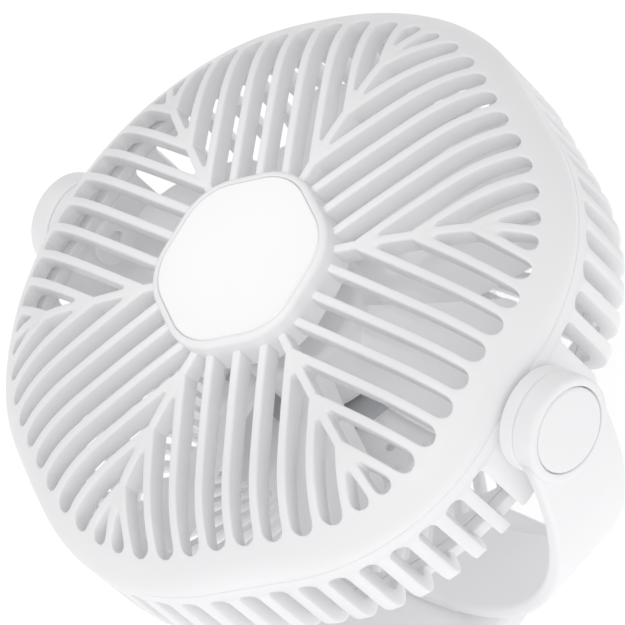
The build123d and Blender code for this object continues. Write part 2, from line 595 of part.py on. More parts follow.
with BuildPart() as charging_socket:
    with BuildSketch(head.offset(BOARD_BACK - SOCKET_SIZE[2])):
        with Locations((0, SOCKET_MOUTH + SOCKET_SIZE[1] / 2)):
            Rectangle(SOCKET_SIZE[0], SOCKET_SIZE[1])
    extrude(amount=SOCKET_SIZE[2])
    corner_edges = charging_socket.edges().filter_by(Axis(head.origin, head.y_dir))
    fillet(corner_edges, SOCKET_SIZE[2] / 2 - SOCKET_CORNER_FLAT)
    mouth = head.from_local_coords((0, SOCKET_MOUTH, BOARD_BACK - SOCKET_SIZE[2] / 2))
    with BuildSketch(Plane(origin=mouth, x_dir=head.x_dir, z_dir=head.y_dir)):
        SlotOverall(SOCKET_SIZE[0] - 2 * SOCKET_SHELL, SOCKET_SIZE[2] - 2 * SOCKET_SHELL)
        SlotOverall(SOCKET_TONGUE[0], SOCKET_TONGUE[1], mode=Mode.SUBTRACT)
    extrude(amount=SOCKET_SIZE[1] - SOCKET_BACK, mode=Mode.SUBTRACT)
save(charging_socket, "charging_socket")

with BuildPart() as motor_lead:
    with BuildSketch(head.offset(BOARD_FRONT)):
        with Locations((0, LEAD_RADIUS)):
            Rectangle(LEAD_WIDTH, LEAD_THICKNESS)
    extrude(amount=FLANGE_FRONT - BOARD_FRONT + LEAD_RISE)
    with BuildSketch(head.offset(FLANGE_FRONT + LEAD_RISE - LEAD_THICKNESS)):
        with Locations((0, (LEAD_RADIUS + STATOR_RADIUS - LEAD_OVERLAP) / 2)):
            Rectangle(LEAD_WIDTH, LEAD_RADIUS - STATOR_RADIUS + LEAD_OVERLAP + LEAD_THICKNESS)
    extrude(amount=LEAD_THICKNESS)
save(motor_lead, "motor_lead")

# ---- motor: fixed tube and stator inside, shaft, can and magnets turning round them -----
with BuildPart() as motor_base:
    with BuildSketch(head.offset(PLATE_FRONT)):
        Circle(FLANGE_RADIUS)
        with PolarLocations(SCREW_CIRCLE, MOTOR_SCREWS, start_angle=MOTOR_SCREW_START):
            Circle(SCREW_RADIUS, mode=Mode.SUBTRACT)
        with Locations((0, LEAD_RADIUS)):
            SlotOverall(*LEAD_SLOT, mode=Mode.SUBTRACT)
    extrude(amount=FLANGE_THICKNESS)
    with BuildSketch(head.offset(PLATE_FRONT)):
        Circle(TUBE_RADIUS)
    extrude(amount=TUBE_TOP - PLATE_FRONT)
    with BuildSketch(head.offset(PLATE_FRONT)):
        Circle(BEARING_RADIUS)
    extrude(amount=TUBE_TOP - PLATE_FRONT, mode=Mode.SUBTRACT)
save(motor_base, "motor_base")

with BuildSketch() as motor_screw_heads:
    with PolarLocations(SCREW_CIRCLE, MOTOR_SCREWS, start_angle=MOTOR_SCREW_START):
        Circle(SCREW_HEAD)
screws(head.offset(FLANGE_FRONT), motor_screw_heads.sketch, SCREW_RADIUS, FLANGE_THICKNESS + REAR_WALL,
       SCREW_HEAD, SCREW_HEAD_HEIGHT, "motor_screws")

bearing_bottoms = {
    "front_bearing": TUBE_TOP - BEARING_LENGTH,
    "rear_bearing": PLATE_FRONT + BEARING_RISE,
}
for label, bottom in bearing_bottoms.items():
    with BuildPart() as bearing:
        with BuildSketch(head.offset(bottom)):
            Circle(BEARING_RADIUS)
            Circle(SHAFT_RADIUS + RUNNING_GAP, mode=Mode.SUBTRACT)
        extrude(amount=BEARING_LENGTH)
    save(bearing, label)

with BuildPart() as stator_core:
    with BuildSketch(head.offset(STATOR_BASE)):
        Circle(STATOR_RING)
        with PolarLocations((STATOR_RING + STATOR_RADIUS) / 2 - TOOTH_OVERLAP, TEETH):
            Rectangle(STATOR_RADIUS - STATOR_RING, TOOTH_WIDTH)
        with PolarLocations(STATOR_RADIUS - SHOE_DEPTH / 2, TEETH):
            Rectangle(SHOE_DEPTH, SHOE_WIDTH)
        Circle(STATOR_RADIUS, mode=Mode.INTERSECT)
        Circle(TUBE_RADIUS, mode=Mode.SUBTRACT)
    extrude(amount=STATOR_HEIGHT)
save(stator_core, "stator_core")

with BuildPart() as stator_windings:
    with BuildSketch(head.offset(STATOR_BASE - COIL_BUILD)):
        with PolarLocations((COIL_INNER + COIL_OUTER) / 2, TEETH):
            Rectangle(COIL_OUTER - COIL_INNER, TOOTH_WIDTH + 2 * COIL_BUILD)
    extrude(amount=STATOR_HEIGHT + 2 * COIL_BUILD)
    add(stator_core.part, mode=Mode.SUBTRACT)
save(stator_windings, "stator_windings")

with BuildPart() as motor_shaft:
    with BuildSketch(head.offset(SHAFT_BOTTOM)):
        Circle(SHAFT_RADIUS)
    extrude(amount=SHAFT_TOP - SHAFT_BOTTOM)
    with BuildSketch(head.offset(SHAFT_BOTTOM + CLIP_THICKNESS)):
        Circle(SHAFT_RADIUS)
        Circle(CLIP_BORE, mode=Mode.SUBTRACT)
    extrude(amount=CLIP_THICKNESS, mode=Mode.SUBTRACT)
save(motor_shaft, "motor_shaft")

with BuildPart() as retaining_clip:
    with BuildSketch(head.offset(SHAFT_BOTTOM + CLIP_THICKNESS)):
        Circle(CLIP_RADIUS)
        Circle(CLIP_BORE, mode=Mode.SUBTRACT)
        with Locations((CLIP_RADIUS, 0)):
            Rectangle(2 * CLIP_RADIUS, CLIP_BORE, mode=Mode.SUBTRACT)
    extrude(amount=CLIP_THICKNESS)
save(retaining_clip, "retaining_clip")

with BuildPart() as rotor_magnets:
    with BuildSketch(head.offset(STATOR_BASE - MAGNET_OVERHANG)):
        Circle(CAN_INNER)
        Circle(MAGNET_INNER, mode=Mode.SUBTRACT)
    extrude(amount=STATOR_HEIGHT + 2 * MAGNET_OVERHANG)
save(rotor_magnets, "rotor_magnets")

with BuildPart() as rotor_can:
    with BuildSketch(head.offset(CAN_BOTTOM)):
        Circle(CAN_INNER + CAN_WALL)
    extrude(amount=CAN_TOP - CAN_BOTTOM)
    with BuildSketch(head.offset(CAN_BOTTOM)):
        Circle(CAN_INNER)
    extrude(amount=CAN_TOP - CAN_WALL - CAN_BOTTOM, mode=Mode.SUBTRACT)
    with BuildSketch(head.offset(CAN_BOTTOM)):
        Circle(SHAFT_RADIUS)
    extrude(amount=CAN_TOP - CAN_BOTTOM, mode=Mode.SUBTRACT)
save(rotor_can, "rotor_can")

# ---- impeller: one blade is lofted, cut to the tip circle and repeated round the hub ----
root_plane = Plane(origin=(ROOT_RADIUS, 0, BLADE_CENTRE), x_dir=(0, 1, 0), z_dir=(1, 0, 0))
tip_plane = root_plane.offset(BLADE_TIP - ROOT_RADIUS)
with BuildPart() as blade:
    with BuildSketch(root_plane):
        SlotOverall(ROOT_CHORD, BLADE_THICKNESS, rotation=ROOT_PITCH)
    with BuildSketch(tip_plane):
        with Locations((TIP_LEAN, 0)):
            SlotOverall(TIP_CHORD, BLADE_THICKNESS, rotation=TIP_PITCH)
    loft()
    with BuildSketch(Plane.XY.offset(BLADE_CENTRE - TIP_CHORD)):
        Circle(BLADE_TIP)
    extrude(amount=2 * TIP_CHORD, mode=Mode.INTERSECT)

with BuildPart() as impeller:
    with BuildSketch(head.offset(CAN_BOTTOM)):
        Circle(IMPELLER_HUB)
    extrude(amount=CAN_TOP + HUB_NOSE - CAN_BOTTOM)
    fillet(impeller.faces().sort_by(head_axis)[-1].edges(), HUB_NOSE * NOSE_ROUND)
    with Locations(head):
        with PolarLocations(0, BLADES):
            add(blade.part)
    with BuildSketch(head.offset(CAN_BOTTOM)):
        Circle(CAN_INNER + CAN_WALL)
    extrude(amount=CAN_TOP - CAN_BOTTOM, mode=Mode.SUBTRACT)
    with BuildSketch(head.offset(CAN_TOP)):
        Circle(SHAFT_RADIUS)
    extrude(amount=SHAFT_TOP - CAN_TOP, mode=Mode.SUBTRACT)
save(impeller, "impeller")


def round_disc(side, start, radius, thickness, rounding):
    """Disc on the tilt axis with the edge of its outer face rounded."""
    with BuildPart() as disc:
        with BuildSketch(side_plane(side, start)):
            Circle(radius)
        extrude(amount=thickness)
        outward = Axis((0, 0, 0), (side, 0, 0))
        fillet(disc.faces().sort_by(outward)[-1].edges(), rounding)
    return disc.part


# ---- yoke: half-ellipse band with a round eye at each end -------------------------------
yoke_plane = Plane(origin=(0, BAND_WIDTH / 2, PIVOT_HEIGHT), x_dir=(1, 0, 0), z_dir=(0, -1, 0))
with BuildPart() as yoke:
    with BuildSketch(yoke_plane):
        Ellipse(YOKE_HALF_WIDTH, YOKE_DROP)
        Ellipse(YOKE_HALF_WIDTH - BAND_THICKNESS, YOKE_DROP - BAND_THICKNESS, mode=Mode.SUBTRACT)
        with Locations((0, YOKE_DROP / 2)):
            Rectangle(2 * YOKE_HALF_WIDTH, YOKE_DROP, mode=Mode.SUBTRACT)
    extrude(amount=BAND_WIDTH)
    fillet(yoke.edges().filter_by(GeomType.ELLIPSE), BAND_ROUND)
    for side in sides.values():
        add(round_disc(side, EYE_INNER, EYE_RADIUS, EYE_OUTER - EYE_INNER, EYE_ROUND))
        with BuildSketch(side_plane(side, RECESS_FLOOR)):
            Circle(EYE_CAP_RADIUS + EYE_CAP_GAP)
        extrude(amount=2 * BAND_THICKNESS, mode=Mode.SUBTRACT)
        with BuildSketch(side_plane(side, EYE_INNER - BAND_THICKNESS)):
            Circle(PIVOT_BOLT_RADIUS + RUNNING_GAP)
        extrude(amount=3 * BAND_THICKNESS, mode=Mode.SUBTRACT)
    with BuildSketch(Plane.XY.offset(BASE_TOP)):
        with GridLocations(BASE_SCREW_SPACING[0], BASE_SCREW_SPACING[1], 2, 2):
            Circle(BASE_SCREW_RADIUS)
    extrude(amount=BASE_SCREW_END - BASE_TOP, mode=Mode.SUBTRACT)
save(yoke, "yoke")

for name, side in sides.items():
    with BuildPart() as collar:
        add(round_disc(side, COLLAR_INNER, COLLAR_RADIUS, COLLAR_OUTER - COLLAR_INNER, COLLAR_ROUND))
        with BuildSketch(side_plane(side, COLLAR_INNER)):
            Circle(PIVOT_BOLT_RADIUS)
        extrude(amount=COLLAR_OUTER - COLLAR_INNER, mode=Mode.SUBTRACT)
    save(collar, f"pivot_collar_{name}")

    with BuildPart() as washer:
        with BuildSketch(side_plane(side, COLLAR_OUTER)):
            Circle(WASHER_RADIUS)
            Circle(PIVOT_BOLT_RADIUS, mode=Mode.SUBTRACT)
        extrude(amount=WASHER_THICKNESS)
    save(washer, f"friction_washer_{name}")

    with BuildPart() as spring_washer:
        with BuildSketch(side_plane(side, RECESS_FLOOR + FACE_GAP)):
            Circle(BOLT_HEAD_RADIUS)
            Circle(PIVOT_BOLT_RADIUS, mode=Mode.SUBTRACT)
        extrude(amount=SPRING_WASHER)
    save(spring_washer, f"spring_washer_{name}")

    with BuildPart() as bolt:
        with BuildSketch(side_plane(side, BOLT_SEAT)):
            Circle(BOLT_HEAD_RADIUS)
        extrude(amount=BOLT_HEAD_HEIGHT)
        with BuildSketch(side_plane(side, BOLT_SEAT + BOLT_HEAD_HEIGHT)):
            Rectangle(2 * (BOLT_HEAD_RADIUS - DRIVE_BORDER), DRIVE_WIDTH)
            Rectangle(DRIVE_WIDTH, 2 * (BOLT_HEAD_RADIUS - DRIVE_BORDER))
        extrude(amount=-BOLT_HEAD_HEIGHT / 2, mode=Mode.SUBTRACT)
        with BuildSketch(side_plane(side, BOLT_SEAT)):
            Circle(PIVOT_BOLT_RADIUS)
        extrude(amount=-BOLT_LENGTH)
    save(bolt, f"pivot_bolt_{name}")

    with BuildPart() as eye_cap:
        add(round_disc(side, CAP_BACK, EYE_CAP_RADIUS, EYE_CAP_THICKNESS, EYE_CAP_ROUND))
        with BuildSketch(side_plane(side, RECESS_FLOOR)):
            Circle(EYE_CAP_RADIUS)
            Circle(EYE_CAP_RADIUS - EYE_CAP_SKIRT, mode=Mode.SUBTRACT)
        extrude(amount=CAP_BACK - RECESS_FLOOR)
    save(eye_cap, f"pivot_cap_{name}")

# ---- base: slab that widens toward the front, with a saddle for the yoke ----------------


def base_outline(inset):
    """Plan of the base, drawn in by inset all round."""
    with BuildSketch() as outline:
        Polygon(
            (-BASE_REAR_HALF, BASE_REAR),
            (BASE_REAR_HALF, BASE_REAR),
            (BASE_FRONT_HALF, -BASE_FRONT),
            (-BASE_FRONT_HALF, -BASE_FRONT),
            align=None,
        )
        fillet(outline.vertices(), BASE_CORNER)
        offset(amount=-inset)
    return outline.sketch


with BuildPart() as base_plate:
    with BuildSketch(Plane.XY.offset(PAD_THICKNESS)):
        add(base_outline(0))
    extrude(amount=BASE_THICKNESS)
    fillet(base_plate.faces().sort_by(Axis.Z)[-1].edges(), BASE_ROUND)
    with BuildSketch(Plane.XY.offset(BASE_TOP)):
        Rectangle(2 * SADDLE_HALF, BAND_WIDTH - 2 * BAND_ROUND)
    extrude(amount=BAND_THICKNESS)
    with BuildSketch(yoke_plane.offset(-BAND_WIDTH)):
        Ellipse(YOKE_HALF_WIDTH, YOKE_DROP)
    extrude(amount=3 * BAND_WIDTH, mode=Mode.SUBTRACT)
    with BuildSketch(Plane.XY.offset(PAD_THICKNESS)):
        with GridLocations(BASE_SCREW_SPACING[0], BASE_SCREW_SPACING[1], 2, 2):
            Circle(BASE_SCREW_HEAD + BASE_HEAD_GAP)
    extrude(amount=BASE_SCREW_SEAT - PAD_THICKNESS, mode=Mode.SUBTRACT)
    with BuildSketch(Plane.XY.offset(PAD_THICKNESS)):
        with GridLocations(BASE_SCREW_SPACING[0], BASE_SCREW_SPACING[1], 2, 2):
            Circle(BASE_SCREW_RADIUS)
    extrude(amount=2 * BASE_THICKNESS, mode=Mode.SUBTRACT)
    with BuildSketch(Plane.XY.offset(PAD_THICKNESS)):
        with Locations((0, WEIGHT_CENTRE)):
            Rectangle(WEIGHT_SIZE[0] + 2 * WEIGHT_GAP, WEIGHT_SIZE[1] + 2 * WEIGHT_GAP)
    extrude(amount=WEIGHT_THICKNESS, mode=Mode.SUBTRACT)
save(base_plate, "base_plate")

with BuildPart() as base_weight:
    with BuildSketch(Plane.XY.offset(PAD_THICKNESS)):
        with Locations((0, WEIGHT_CENTRE)):
            Rectangle(*WEIGHT_SIZE)
    extrude(amount=WEIGHT_THICKNESS)
save(base_weight, "base_weight")

with BuildPart() as base_pad:
    with BuildSketch(Plane.XY):
        add(base_outline(PAD_INSET))
    extrude(amount=PAD_THICKNESS)
save(base_pad, "base_pad")

with BuildSketch() as base_screw_heads:
    with GridLocations(BASE_SCREW_SPACING[0], BASE_SCREW_SPACING[1], 2, 2):
        Circle(BASE_SCREW_HEAD)
screws(Plane(origin=(0, 0, BASE_SCREW_SEAT), x_dir=(1, 0, 0), z_dir=(0, 0, -1)),
       base_screw_heads.sketch, BASE_SCREW_RADIUS, BASE_SCREW_END - BASE_SCREW_SEAT,
       BASE_SCREW_HEAD, SCREW_HEAD_HEIGHT, "base_screws")
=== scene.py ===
# %% [markdown]
# # A small desk fan with a ribbed, six-sided head
# The real fan is all white moulded plastic: a domed grille, a shell of thin fins, a blade wheel
# inside, and a U-shaped yoke on a slab base. Its CAD model gives the sizes. This lesson wraps
# finer surfaces round that frame: each new piece is a formula on a grid, so that its roundings are
# true and its edges catch the light as moulded edges do.

import json
import math

import bmesh
import bpy
import numpy as np
from mathutils import Matrix, Vector

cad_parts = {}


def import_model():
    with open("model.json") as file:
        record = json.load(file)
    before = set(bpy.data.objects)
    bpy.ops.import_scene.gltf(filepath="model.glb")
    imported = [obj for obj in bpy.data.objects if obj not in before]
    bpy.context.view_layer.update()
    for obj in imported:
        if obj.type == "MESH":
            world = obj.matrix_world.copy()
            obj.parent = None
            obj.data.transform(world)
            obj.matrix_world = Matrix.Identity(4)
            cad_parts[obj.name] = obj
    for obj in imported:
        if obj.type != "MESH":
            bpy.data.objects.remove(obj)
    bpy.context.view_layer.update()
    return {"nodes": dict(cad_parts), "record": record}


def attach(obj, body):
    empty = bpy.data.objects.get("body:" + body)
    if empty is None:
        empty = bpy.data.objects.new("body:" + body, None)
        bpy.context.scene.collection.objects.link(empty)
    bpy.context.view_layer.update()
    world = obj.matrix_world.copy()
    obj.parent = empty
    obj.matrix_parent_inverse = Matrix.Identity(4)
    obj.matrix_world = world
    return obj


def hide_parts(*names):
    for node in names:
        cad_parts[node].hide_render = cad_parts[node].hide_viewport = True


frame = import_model()

# %% [markdown]
# ## One place for the head's coordinates
# The head leans back, so its shapes are easiest to write in its own frame: x along the tilt axis,
# y up the face, z out of the front, all in millimetres from the tilt axis. One function turns
# such points into metres in the model's frame.

# %% Head frame
HEAD_TILT = math.radians(75)
PIVOT = np.array([0.0, 0.0, 81.0])
FRONT = np.array([0.0, -math.cos(HEAD_TILT), math.sin(HEAD_TILT)])
UPWARD = np.array([0.0, math.sin(HEAD_TILT), math.cos(HEAD_TILT)])
SIDEWAYS = np.array([1.0, 0.0, 0.0])


def head_to_world(points):
    """World metres = (pivot + x * sideways + y * upward + z * front) / 1000."""
    return (PIVOT + points @ np.stack([SIDEWAYS, UPWARD, FRONT])) / 1000


def world(points):
    """World metres of points given in world millimetres."""
    return np.asarray(points) / 1000


print("front direction", FRONT.round(3))

# %% [markdown]
# ## From a grid of points to a mesh
# Every new piece is a grid: rows run along the piece, columns run round its section. Grid
# faces join neighbours, and a closed direction wraps round. Blender gets whole arrays at once, and
# vertices that meet at a seam or a pole are merged so that the skin closes. A piece may hold
# several closed shells, such as the separate fins, and each is turned to face outward by the sign
# of its own volume.

# %% Mesh helpers
MERGE_REACH, SHORTEST_EDGE = 2e-6, 1e-7


def grid_faces(rows, columns, close_rows=False, close_columns=False, first=0):
    """Four corners (i, j), (i, j+1), (i+1, j+1), (i+1, j) of each cell of a rows x columns grid."""
    i = np.arange(rows if close_rows else rows - 1)[:, None]
    j = np.arange(columns if close_columns else columns - 1)[None, :]
    near, far = i * columns, (i + 1) % rows * columns
    left, right = j, (j + 1) % columns
    corners = np.stack([near + left, near + right, far + right, far + left], axis=-1)
    return corners.reshape(-1, 4) + first


class Skin:
    """Collects grids of points and their faces, then makes one merged mesh object of them."""

    def __init__(self):
        self.points, self.faces, self.count = [], [], 0

    def add(self, grid, close_rows=False, close_columns=False, caps=False):
        """Adds a (rows, columns, 3) grid; caps close its first and last row with one face each."""
        rows, columns = grid.shape[:2]
        faces = grid_faces(rows, columns, close_rows, close_columns, self.count).tolist()
        if caps:
            first = list(range(self.count, self.count + columns))
            last = list(range(self.count + (rows - 1) * columns, self.count + rows * columns))
            faces += [first, last[::-1]]
        self.points.append(grid.reshape(-1, 3))
        self.faces += faces
        self.count += rows * columns

    def make(self, name, body, slot, stands_for=(), sharp=40.0, place=head_to_world):
        """One object: merges meeting vertices, turns faces outward, shades smooth up to an angle."""
        mesh = bpy.data.meshes.new(name)
        mesh.from_pydata(place(np.concatenate(self.points)).tolist(), [], self.faces)
        piece = bpy.data.objects.new(name, mesh)
        bpy.context.scene.collection.objects.link(piece)
        merge_and_turn(mesh)
        mesh.polygons.foreach_set("use_smooth", np.ones(len(mesh.polygons), bool))
        mesh.set_sharp_from_angle(angle=math.radians(sharp))
        mesh.materials.append(FINISHES[slot])
        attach(piece, body)
        if stands_for:
            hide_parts(*stands_for)
        print(f"{name}: {len(mesh.vertices)} points, {len(mesh.polygons)} faces")
        return piece


def shells(work):
    """Lists of faces, one list per closed shell: joined across edges that two faces share."""
    left = set(work.faces)
    while left:
        waiting, shell = [left.pop()], []
        while waiting:
            face = waiting.pop()
            shell.append(face)
            beside = {other for edge in face.edges if len(edge.link_faces) == 2
                      for other in edge.link_faces} & left
            left -= beside
            waiting += beside
        yield shell


def merge_and_turn(mesh):
    """Merges vertices nearer than 2 micrometres and points every face of every shell outward.

    A shell's volume is a third of the sum of area * (centre . normal). Only its sign is needed:
    below zero the shell is inside out."""
    work = bmesh.new()
    work.from_mesh(mesh)
    bmesh.ops.remove_doubles(work, verts=work.verts, dist=MERGE_REACH)
    bmesh.ops.dissolve_degenerate(work, edges=work.edges, dist=SHORTEST_EDGE)
    bmesh.ops.recalc_face_normals(work, faces=work.faces)
    for shell in shells(work):
        middle = shell[0].calc_center_median()
        volume = sum(face.calc_area() * (face.calc_center_median() - middle).dot(face.normal)
                     for face in shell)
        if volume < 0:
            bmesh.ops.reverse_faces(work, faces=shell)
    work.to_mesh(mesh)
    work.free()
    mesh.validate()


# %% [markdown]
# ## Finishes
# The fan is moulded in one white plastic with a fine spark-eroded grain. Up close the grain
# breaks up the highlights, a faint cloudiness shifts the tone by a percent or two, and handling
# polishes some patches. All three come from noise read in object coordinates, so they keep their
# scale on every piece. The inside pieces get plating, laminations, enamel and solder mask in the
# same way, each with its own noise.

# %% A finish from noise
CLOUD_SCALE, WEAR_SCALE = 38.0, 120.0
GRAIN_DEPTH = 0.00004
COAT_ROUGHNESS = 0.08
SCATTER_RADIUS, SCATTER_SCALE = (1.0, 0.95, 0.9), 0.0012


def finish(name, colour, roughness, grain=900.0, bump=0.25, cloud=0.012, metallic=0.0,
           coat=0.0, streak=(1.0, 1.0, 1.0), subsurface=0.0, polish=0.06):
    """Principled surface: colour * (1 +- cloud), roughness +- polish, bump from grain noise."""
    material = bpy.data.materials.new(name)
    material.use_nodes = True
    nodes, links = material.node_tree.nodes, material.node_tree.links
    shader = nodes["Principled BSDF"]
    place = nodes.new("ShaderNodeTexCoord")
    stretch = nodes.new("ShaderNodeMapping")
    stretch.inputs["Scale"].default_value = streak
    links.new(place.outputs["Object"], stretch.inputs["Vector"])

    def noise(scale, detail):
        node = nodes.new("ShaderNodeTexNoise")
        node.inputs["Scale"].default_value = scale
        node.inputs["Detail"].default_value = detail
        links.new(stretch.outputs["Vector"], node.inputs["Vector"])
        return node

    tone = nodes.new("ShaderNodeValToRGB")
    dark, light = tone.color_ramp.elements
    dark.position, light.position = 0.3, 0.7
    dark.color = (*[c * (1 - cloud) for c in colour], 1)
    light.color = (*[min(1, c * (1 + cloud)) for c in colour], 1)
    links.new(noise(CLOUD_SCALE, 3.0).outputs["Fac"], tone.inputs["Fac"])
    links.new(tone.outputs["Color"], shader.inputs["Base Color"])

    worn = nodes.new("ShaderNodeMapRange")
    worn.inputs["From Min"].default_value, worn.inputs["From Max"].default_value = 0.35, 0.65
    worn.inputs["To Min"].default_value = roughness - polish
    worn.inputs["To Max"].default_value = roughness + polish
    links.new(noise(WEAR_SCALE, 4.0).outputs["Fac"], worn.inputs["Value"])
    links.new(worn.outputs["Result"], shader.inputs["Roughness"])

    relief = nodes.new("ShaderNodeBump")
    relief.inputs["Strength"].default_value = bump
    relief.inputs["Distance"].default_value = GRAIN_DEPTH
    links.new(noise(grain, 2.0).outputs["Fac"], relief.inputs["Height"])
    links.new(relief.outputs["Normal"], shader.inputs["Normal"])

    shader.inputs["Metallic"].default_value = metallic
    shader.inputs["Coat Weight"].default_value = coat
    shader.inputs["Coat Roughness"].default_value = COAT_ROUGHNESS
    shader.inputs["Subsurface Weight"].default_value = subsurface
    shader.inputs["Subsurface Radius"].default_value = SCATTER_RADIUS
    shader.inputs["Subsurface Scale"].default_value = SCATTER_SCALE
    return material


FINISHES = {
    "white_satin": finish("satin white plastic", (0.925, 0.92, 0.935), 0.42, subsurface=0.25),
    "white_gloss": finish("polished white plastic", (0.96, 0.96, 0.965), 0.16, grain=260.0,
                          bump=0.04, coat=0.35, polish=0.04, cloud=0.006),
    "fan_white": finish("blade white plastic", (0.93, 0.925, 0.94), 0.36, bump=0.15),
    "grey_button": finish("soft grey plastic", (0.60, 0.61, 0.63), 0.55, bump=0.4),
    "inner_grey": finish("grey engineering plastic", (0.42, 0.43, 0.45), 0.5, bump=0.35),
    "bright_steel": finish("zinc plated steel", (0.72, 0.72, 0.73), 0.28, grain=1500.0, bump=0.1,
                           metallic=1.0, cloud=0.05),
    "core_steel": finish("stacked sheet steel", (0.33, 0.33, 0.35), 0.45, grain=400.0, bump=0.4,
                         metallic=1.0, cloud=0.08, streak=(1, 1, 8)),
    "magnet_grey": finish("bonded magnet", (0.12, 0.12, 0.13), 0.6, bump=0.3, cloud=0.1),
    "copper_wire": finish("enamelled copper", (0.62, 0.25, 0.11), 0.3, grain=500.0, bump=0.6,
                          metallic=1.0, coat=0.4, streak=(6, 1, 1), cloud=0.08),
    "bronze": finish("sintered bronze", (0.50, 0.36, 0.18), 0.5, grain=1400.0, bump=0.4,
                     metallic=1.0, cloud=0.1),
    "board_green": finish("solder mask", (0.03, 0.16, 0.07), 0.3, grain=300.0, bump=0.15,
                          coat=0.3, cloud=0.1),
    "black_plastic": finish("black plastic", (0.02, 0.02, 0.022), 0.5, bump=0.3, cloud=0.1),
    "washer_nylon": finish("nylon", (0.78, 0.78, 0.74), 0.5, bump=0.2, subsurface=0.2),
    "pad_rubber": finish("silicone rubber", (0.55, 0.56, 0.58), 0.75, grain=600.0, bump=0.5),
}
print(len(FINISHES), "finishes")

# %% [markdown]
# ## Finishes on the CAD nodes
# A node that already has the right shape keeps it and only takes the better finish, through the
# material slots of its object.

# %% Dress the CAD nodes
slot_of = {part["node"]: part["material_slot"] for part in frame["record"]["subparts"]}
for node_name, node in frame["nodes"].items():
    node.data.materials.clear()
    node.data.materials.append(FINISHES[slot_of[node_name]])
print("dressed", len(slot_of), "nodes")

# %% [markdown]
# ## Sizes that the surfaces share
# These repeat the CAD model's driving sizes, in millimetres.

# %% Sizes
HEAD_FLAT, HEAD_CORNER = 63.5, 46.5
FRONT_PLANE, DOME_RISE = 15.2, 8.1
PARTING, REAR_PLANE, REAR_ROUND = 8.0, -17.6, 9.0
RIB_PITCH, HALF_RIB, RIB_DEPTH = 6.2, 0.95, 4.8
RIM_BAND, RIM_WALL = 4.7, 2.4
HUB_FLAT, HUB_CORNER, HUB_TOP = 19.2, 13.0, 26.8
FIN_DEPTH, REAR_WALL = 4.6, 3.0
SECTOR = math.radians(60)
CORNER_REACH = (HEAD_FLAT - HEAD_CORNER) / math.cos(SECTOR / 2) + HEAD_CORNER

# %% [markdown]
# ## The rounded hexagon
# The head, the hub and its cap share one outline: a hexagon whose corners are arcs. Written as
# reach against angle, it is one line of algebra, and a smaller copy is the same line with
# smaller numbers.

# %% Outline by angle
def hexagon_reach(angle, flat, corner):
    """Distance to the outline: the flat where the ray meets it, else its far crossing of the arc."""
    turn = np.abs((angle + SECTOR / 2) % SECTOR - SECTOR / 2)
    centre_x, centre_y = flat - corner, (flat - corner) * math.tan(SECTOR / 2)
    along = centre_x * np.cos(turn) + centre_y * np.sin(turn)
    across = centre_x * np.sin(turn) - centre_y * np.cos(turn)
    arc = along + np.sqrt(corner ** 2 - across ** 2)
    return np.where(flat * np.tan(turn) < centre_y, flat / np.cos(turn), arc)


def polar(radius, angle, height):
    """Points (radius * cos, radius * sin, height), with the three arrays spread over each other."""
    radius, angle, height = np.broadcast_arrays(radius, angle, height)
    return np.stack([radius * np.cos(angle), radius * np.sin(angle), height], axis=-1)


both = hexagon_reach(np.array([0, SECTOR / 2]), HEAD_FLAT, HEAD_CORNER)
print("reach at a flat and a corner", both.round(2))

# %% [markdown]
# ## The dome
# The grille bulges: flat in the middle, falling away faster toward the rim. A cubic spline
# through six knots, level at the centre, gives the height at any distance from the middle. The
# knots are shares of the reach to a corner and of the dome's rise.

# %% Height of the dome
def spline(x, y, start_slope, end_slope):
    """Cubic pieces with equal slope and bend at each knot; returns the curve as a function."""
    step, rise = np.diff(x), np.diff(y)
    size = len(x)
    system, wanted = np.zeros((size, size)), np.zeros(size)
    inner = np.arange(1, size - 1)
    system[inner, inner - 1], system[inner, inner + 1] = 1 / step[:-1], 1 / step[1:]
    system[inner, inner] = 2 * (1 / step[:-1] + 1 / step[1:])
    wanted[inner] = 3 * (rise[:-1] / step[:-1] ** 2 + rise[1:] / step[1:] ** 2)
    system[0, 0] = system[-1, -1] = 1
    wanted[0], wanted[-1] = start_slope, end_slope
    slope = np.linalg.solve(system, wanted)

    def curve(value):
        k = np.clip(np.searchsorted(x, value) - 1, 0, size - 2)
        t = (value - x[k]) / step[k]
        return ((1 + 2 * t) * (1 - t) ** 2 * y[k] + t * (1 - t) ** 2 * step[k] * slope[k]
                + t ** 2 * (3 - 2 * t) * y[k + 1] + t ** 2 * (t - 1) * step[k] * slope[k + 1])
    return curve


REACH_SHARES = np.array([0, 0.42, 0.61, 0.80, 0.92, 1.015])
RISE_SHARES = np.array([1, 0.96, 0.86, 0.58, 0, -0.85])
RIM_SLOPE = -1.5
dome = spline(CORNER_REACH * REACH_SHARES, FRONT_PLANE + DOME_RISE * RISE_SHARES, 0.0, RIM_SLOPE)
print("dome heights", dome(np.array([0.0, 30.0, 50.0, 60.0])).round(2))

# %% [markdown]
# ## The front grille, slot by slot
# Nine ribs run side by side in each of six sectors and end on spines between the sectors. The
# ribs could be swept one at a time, but their ends meet the spines at slants that are hard to
# join. So the grille is built from its slots: each slot owns the cell of material round it, out to
# the middle of the ribs. A ring of section points runs from the cell's edge, over the rounded
# edge, down the slot's wall and back along the underside. Cells that meet share the same points on
# their common edge, so they merge into one skin.

# %% The outline of a slot inside its cell
END_MARGIN, SAMPLE_STEP = 1.8, 2.0
END_SHARES = np.array([0, 0.3, 0.62])


def unit(vectors):
    """Vectors divided by their length."""
    return vectors / np.linalg.norm(vectors, axis=-1, keepdims=True)


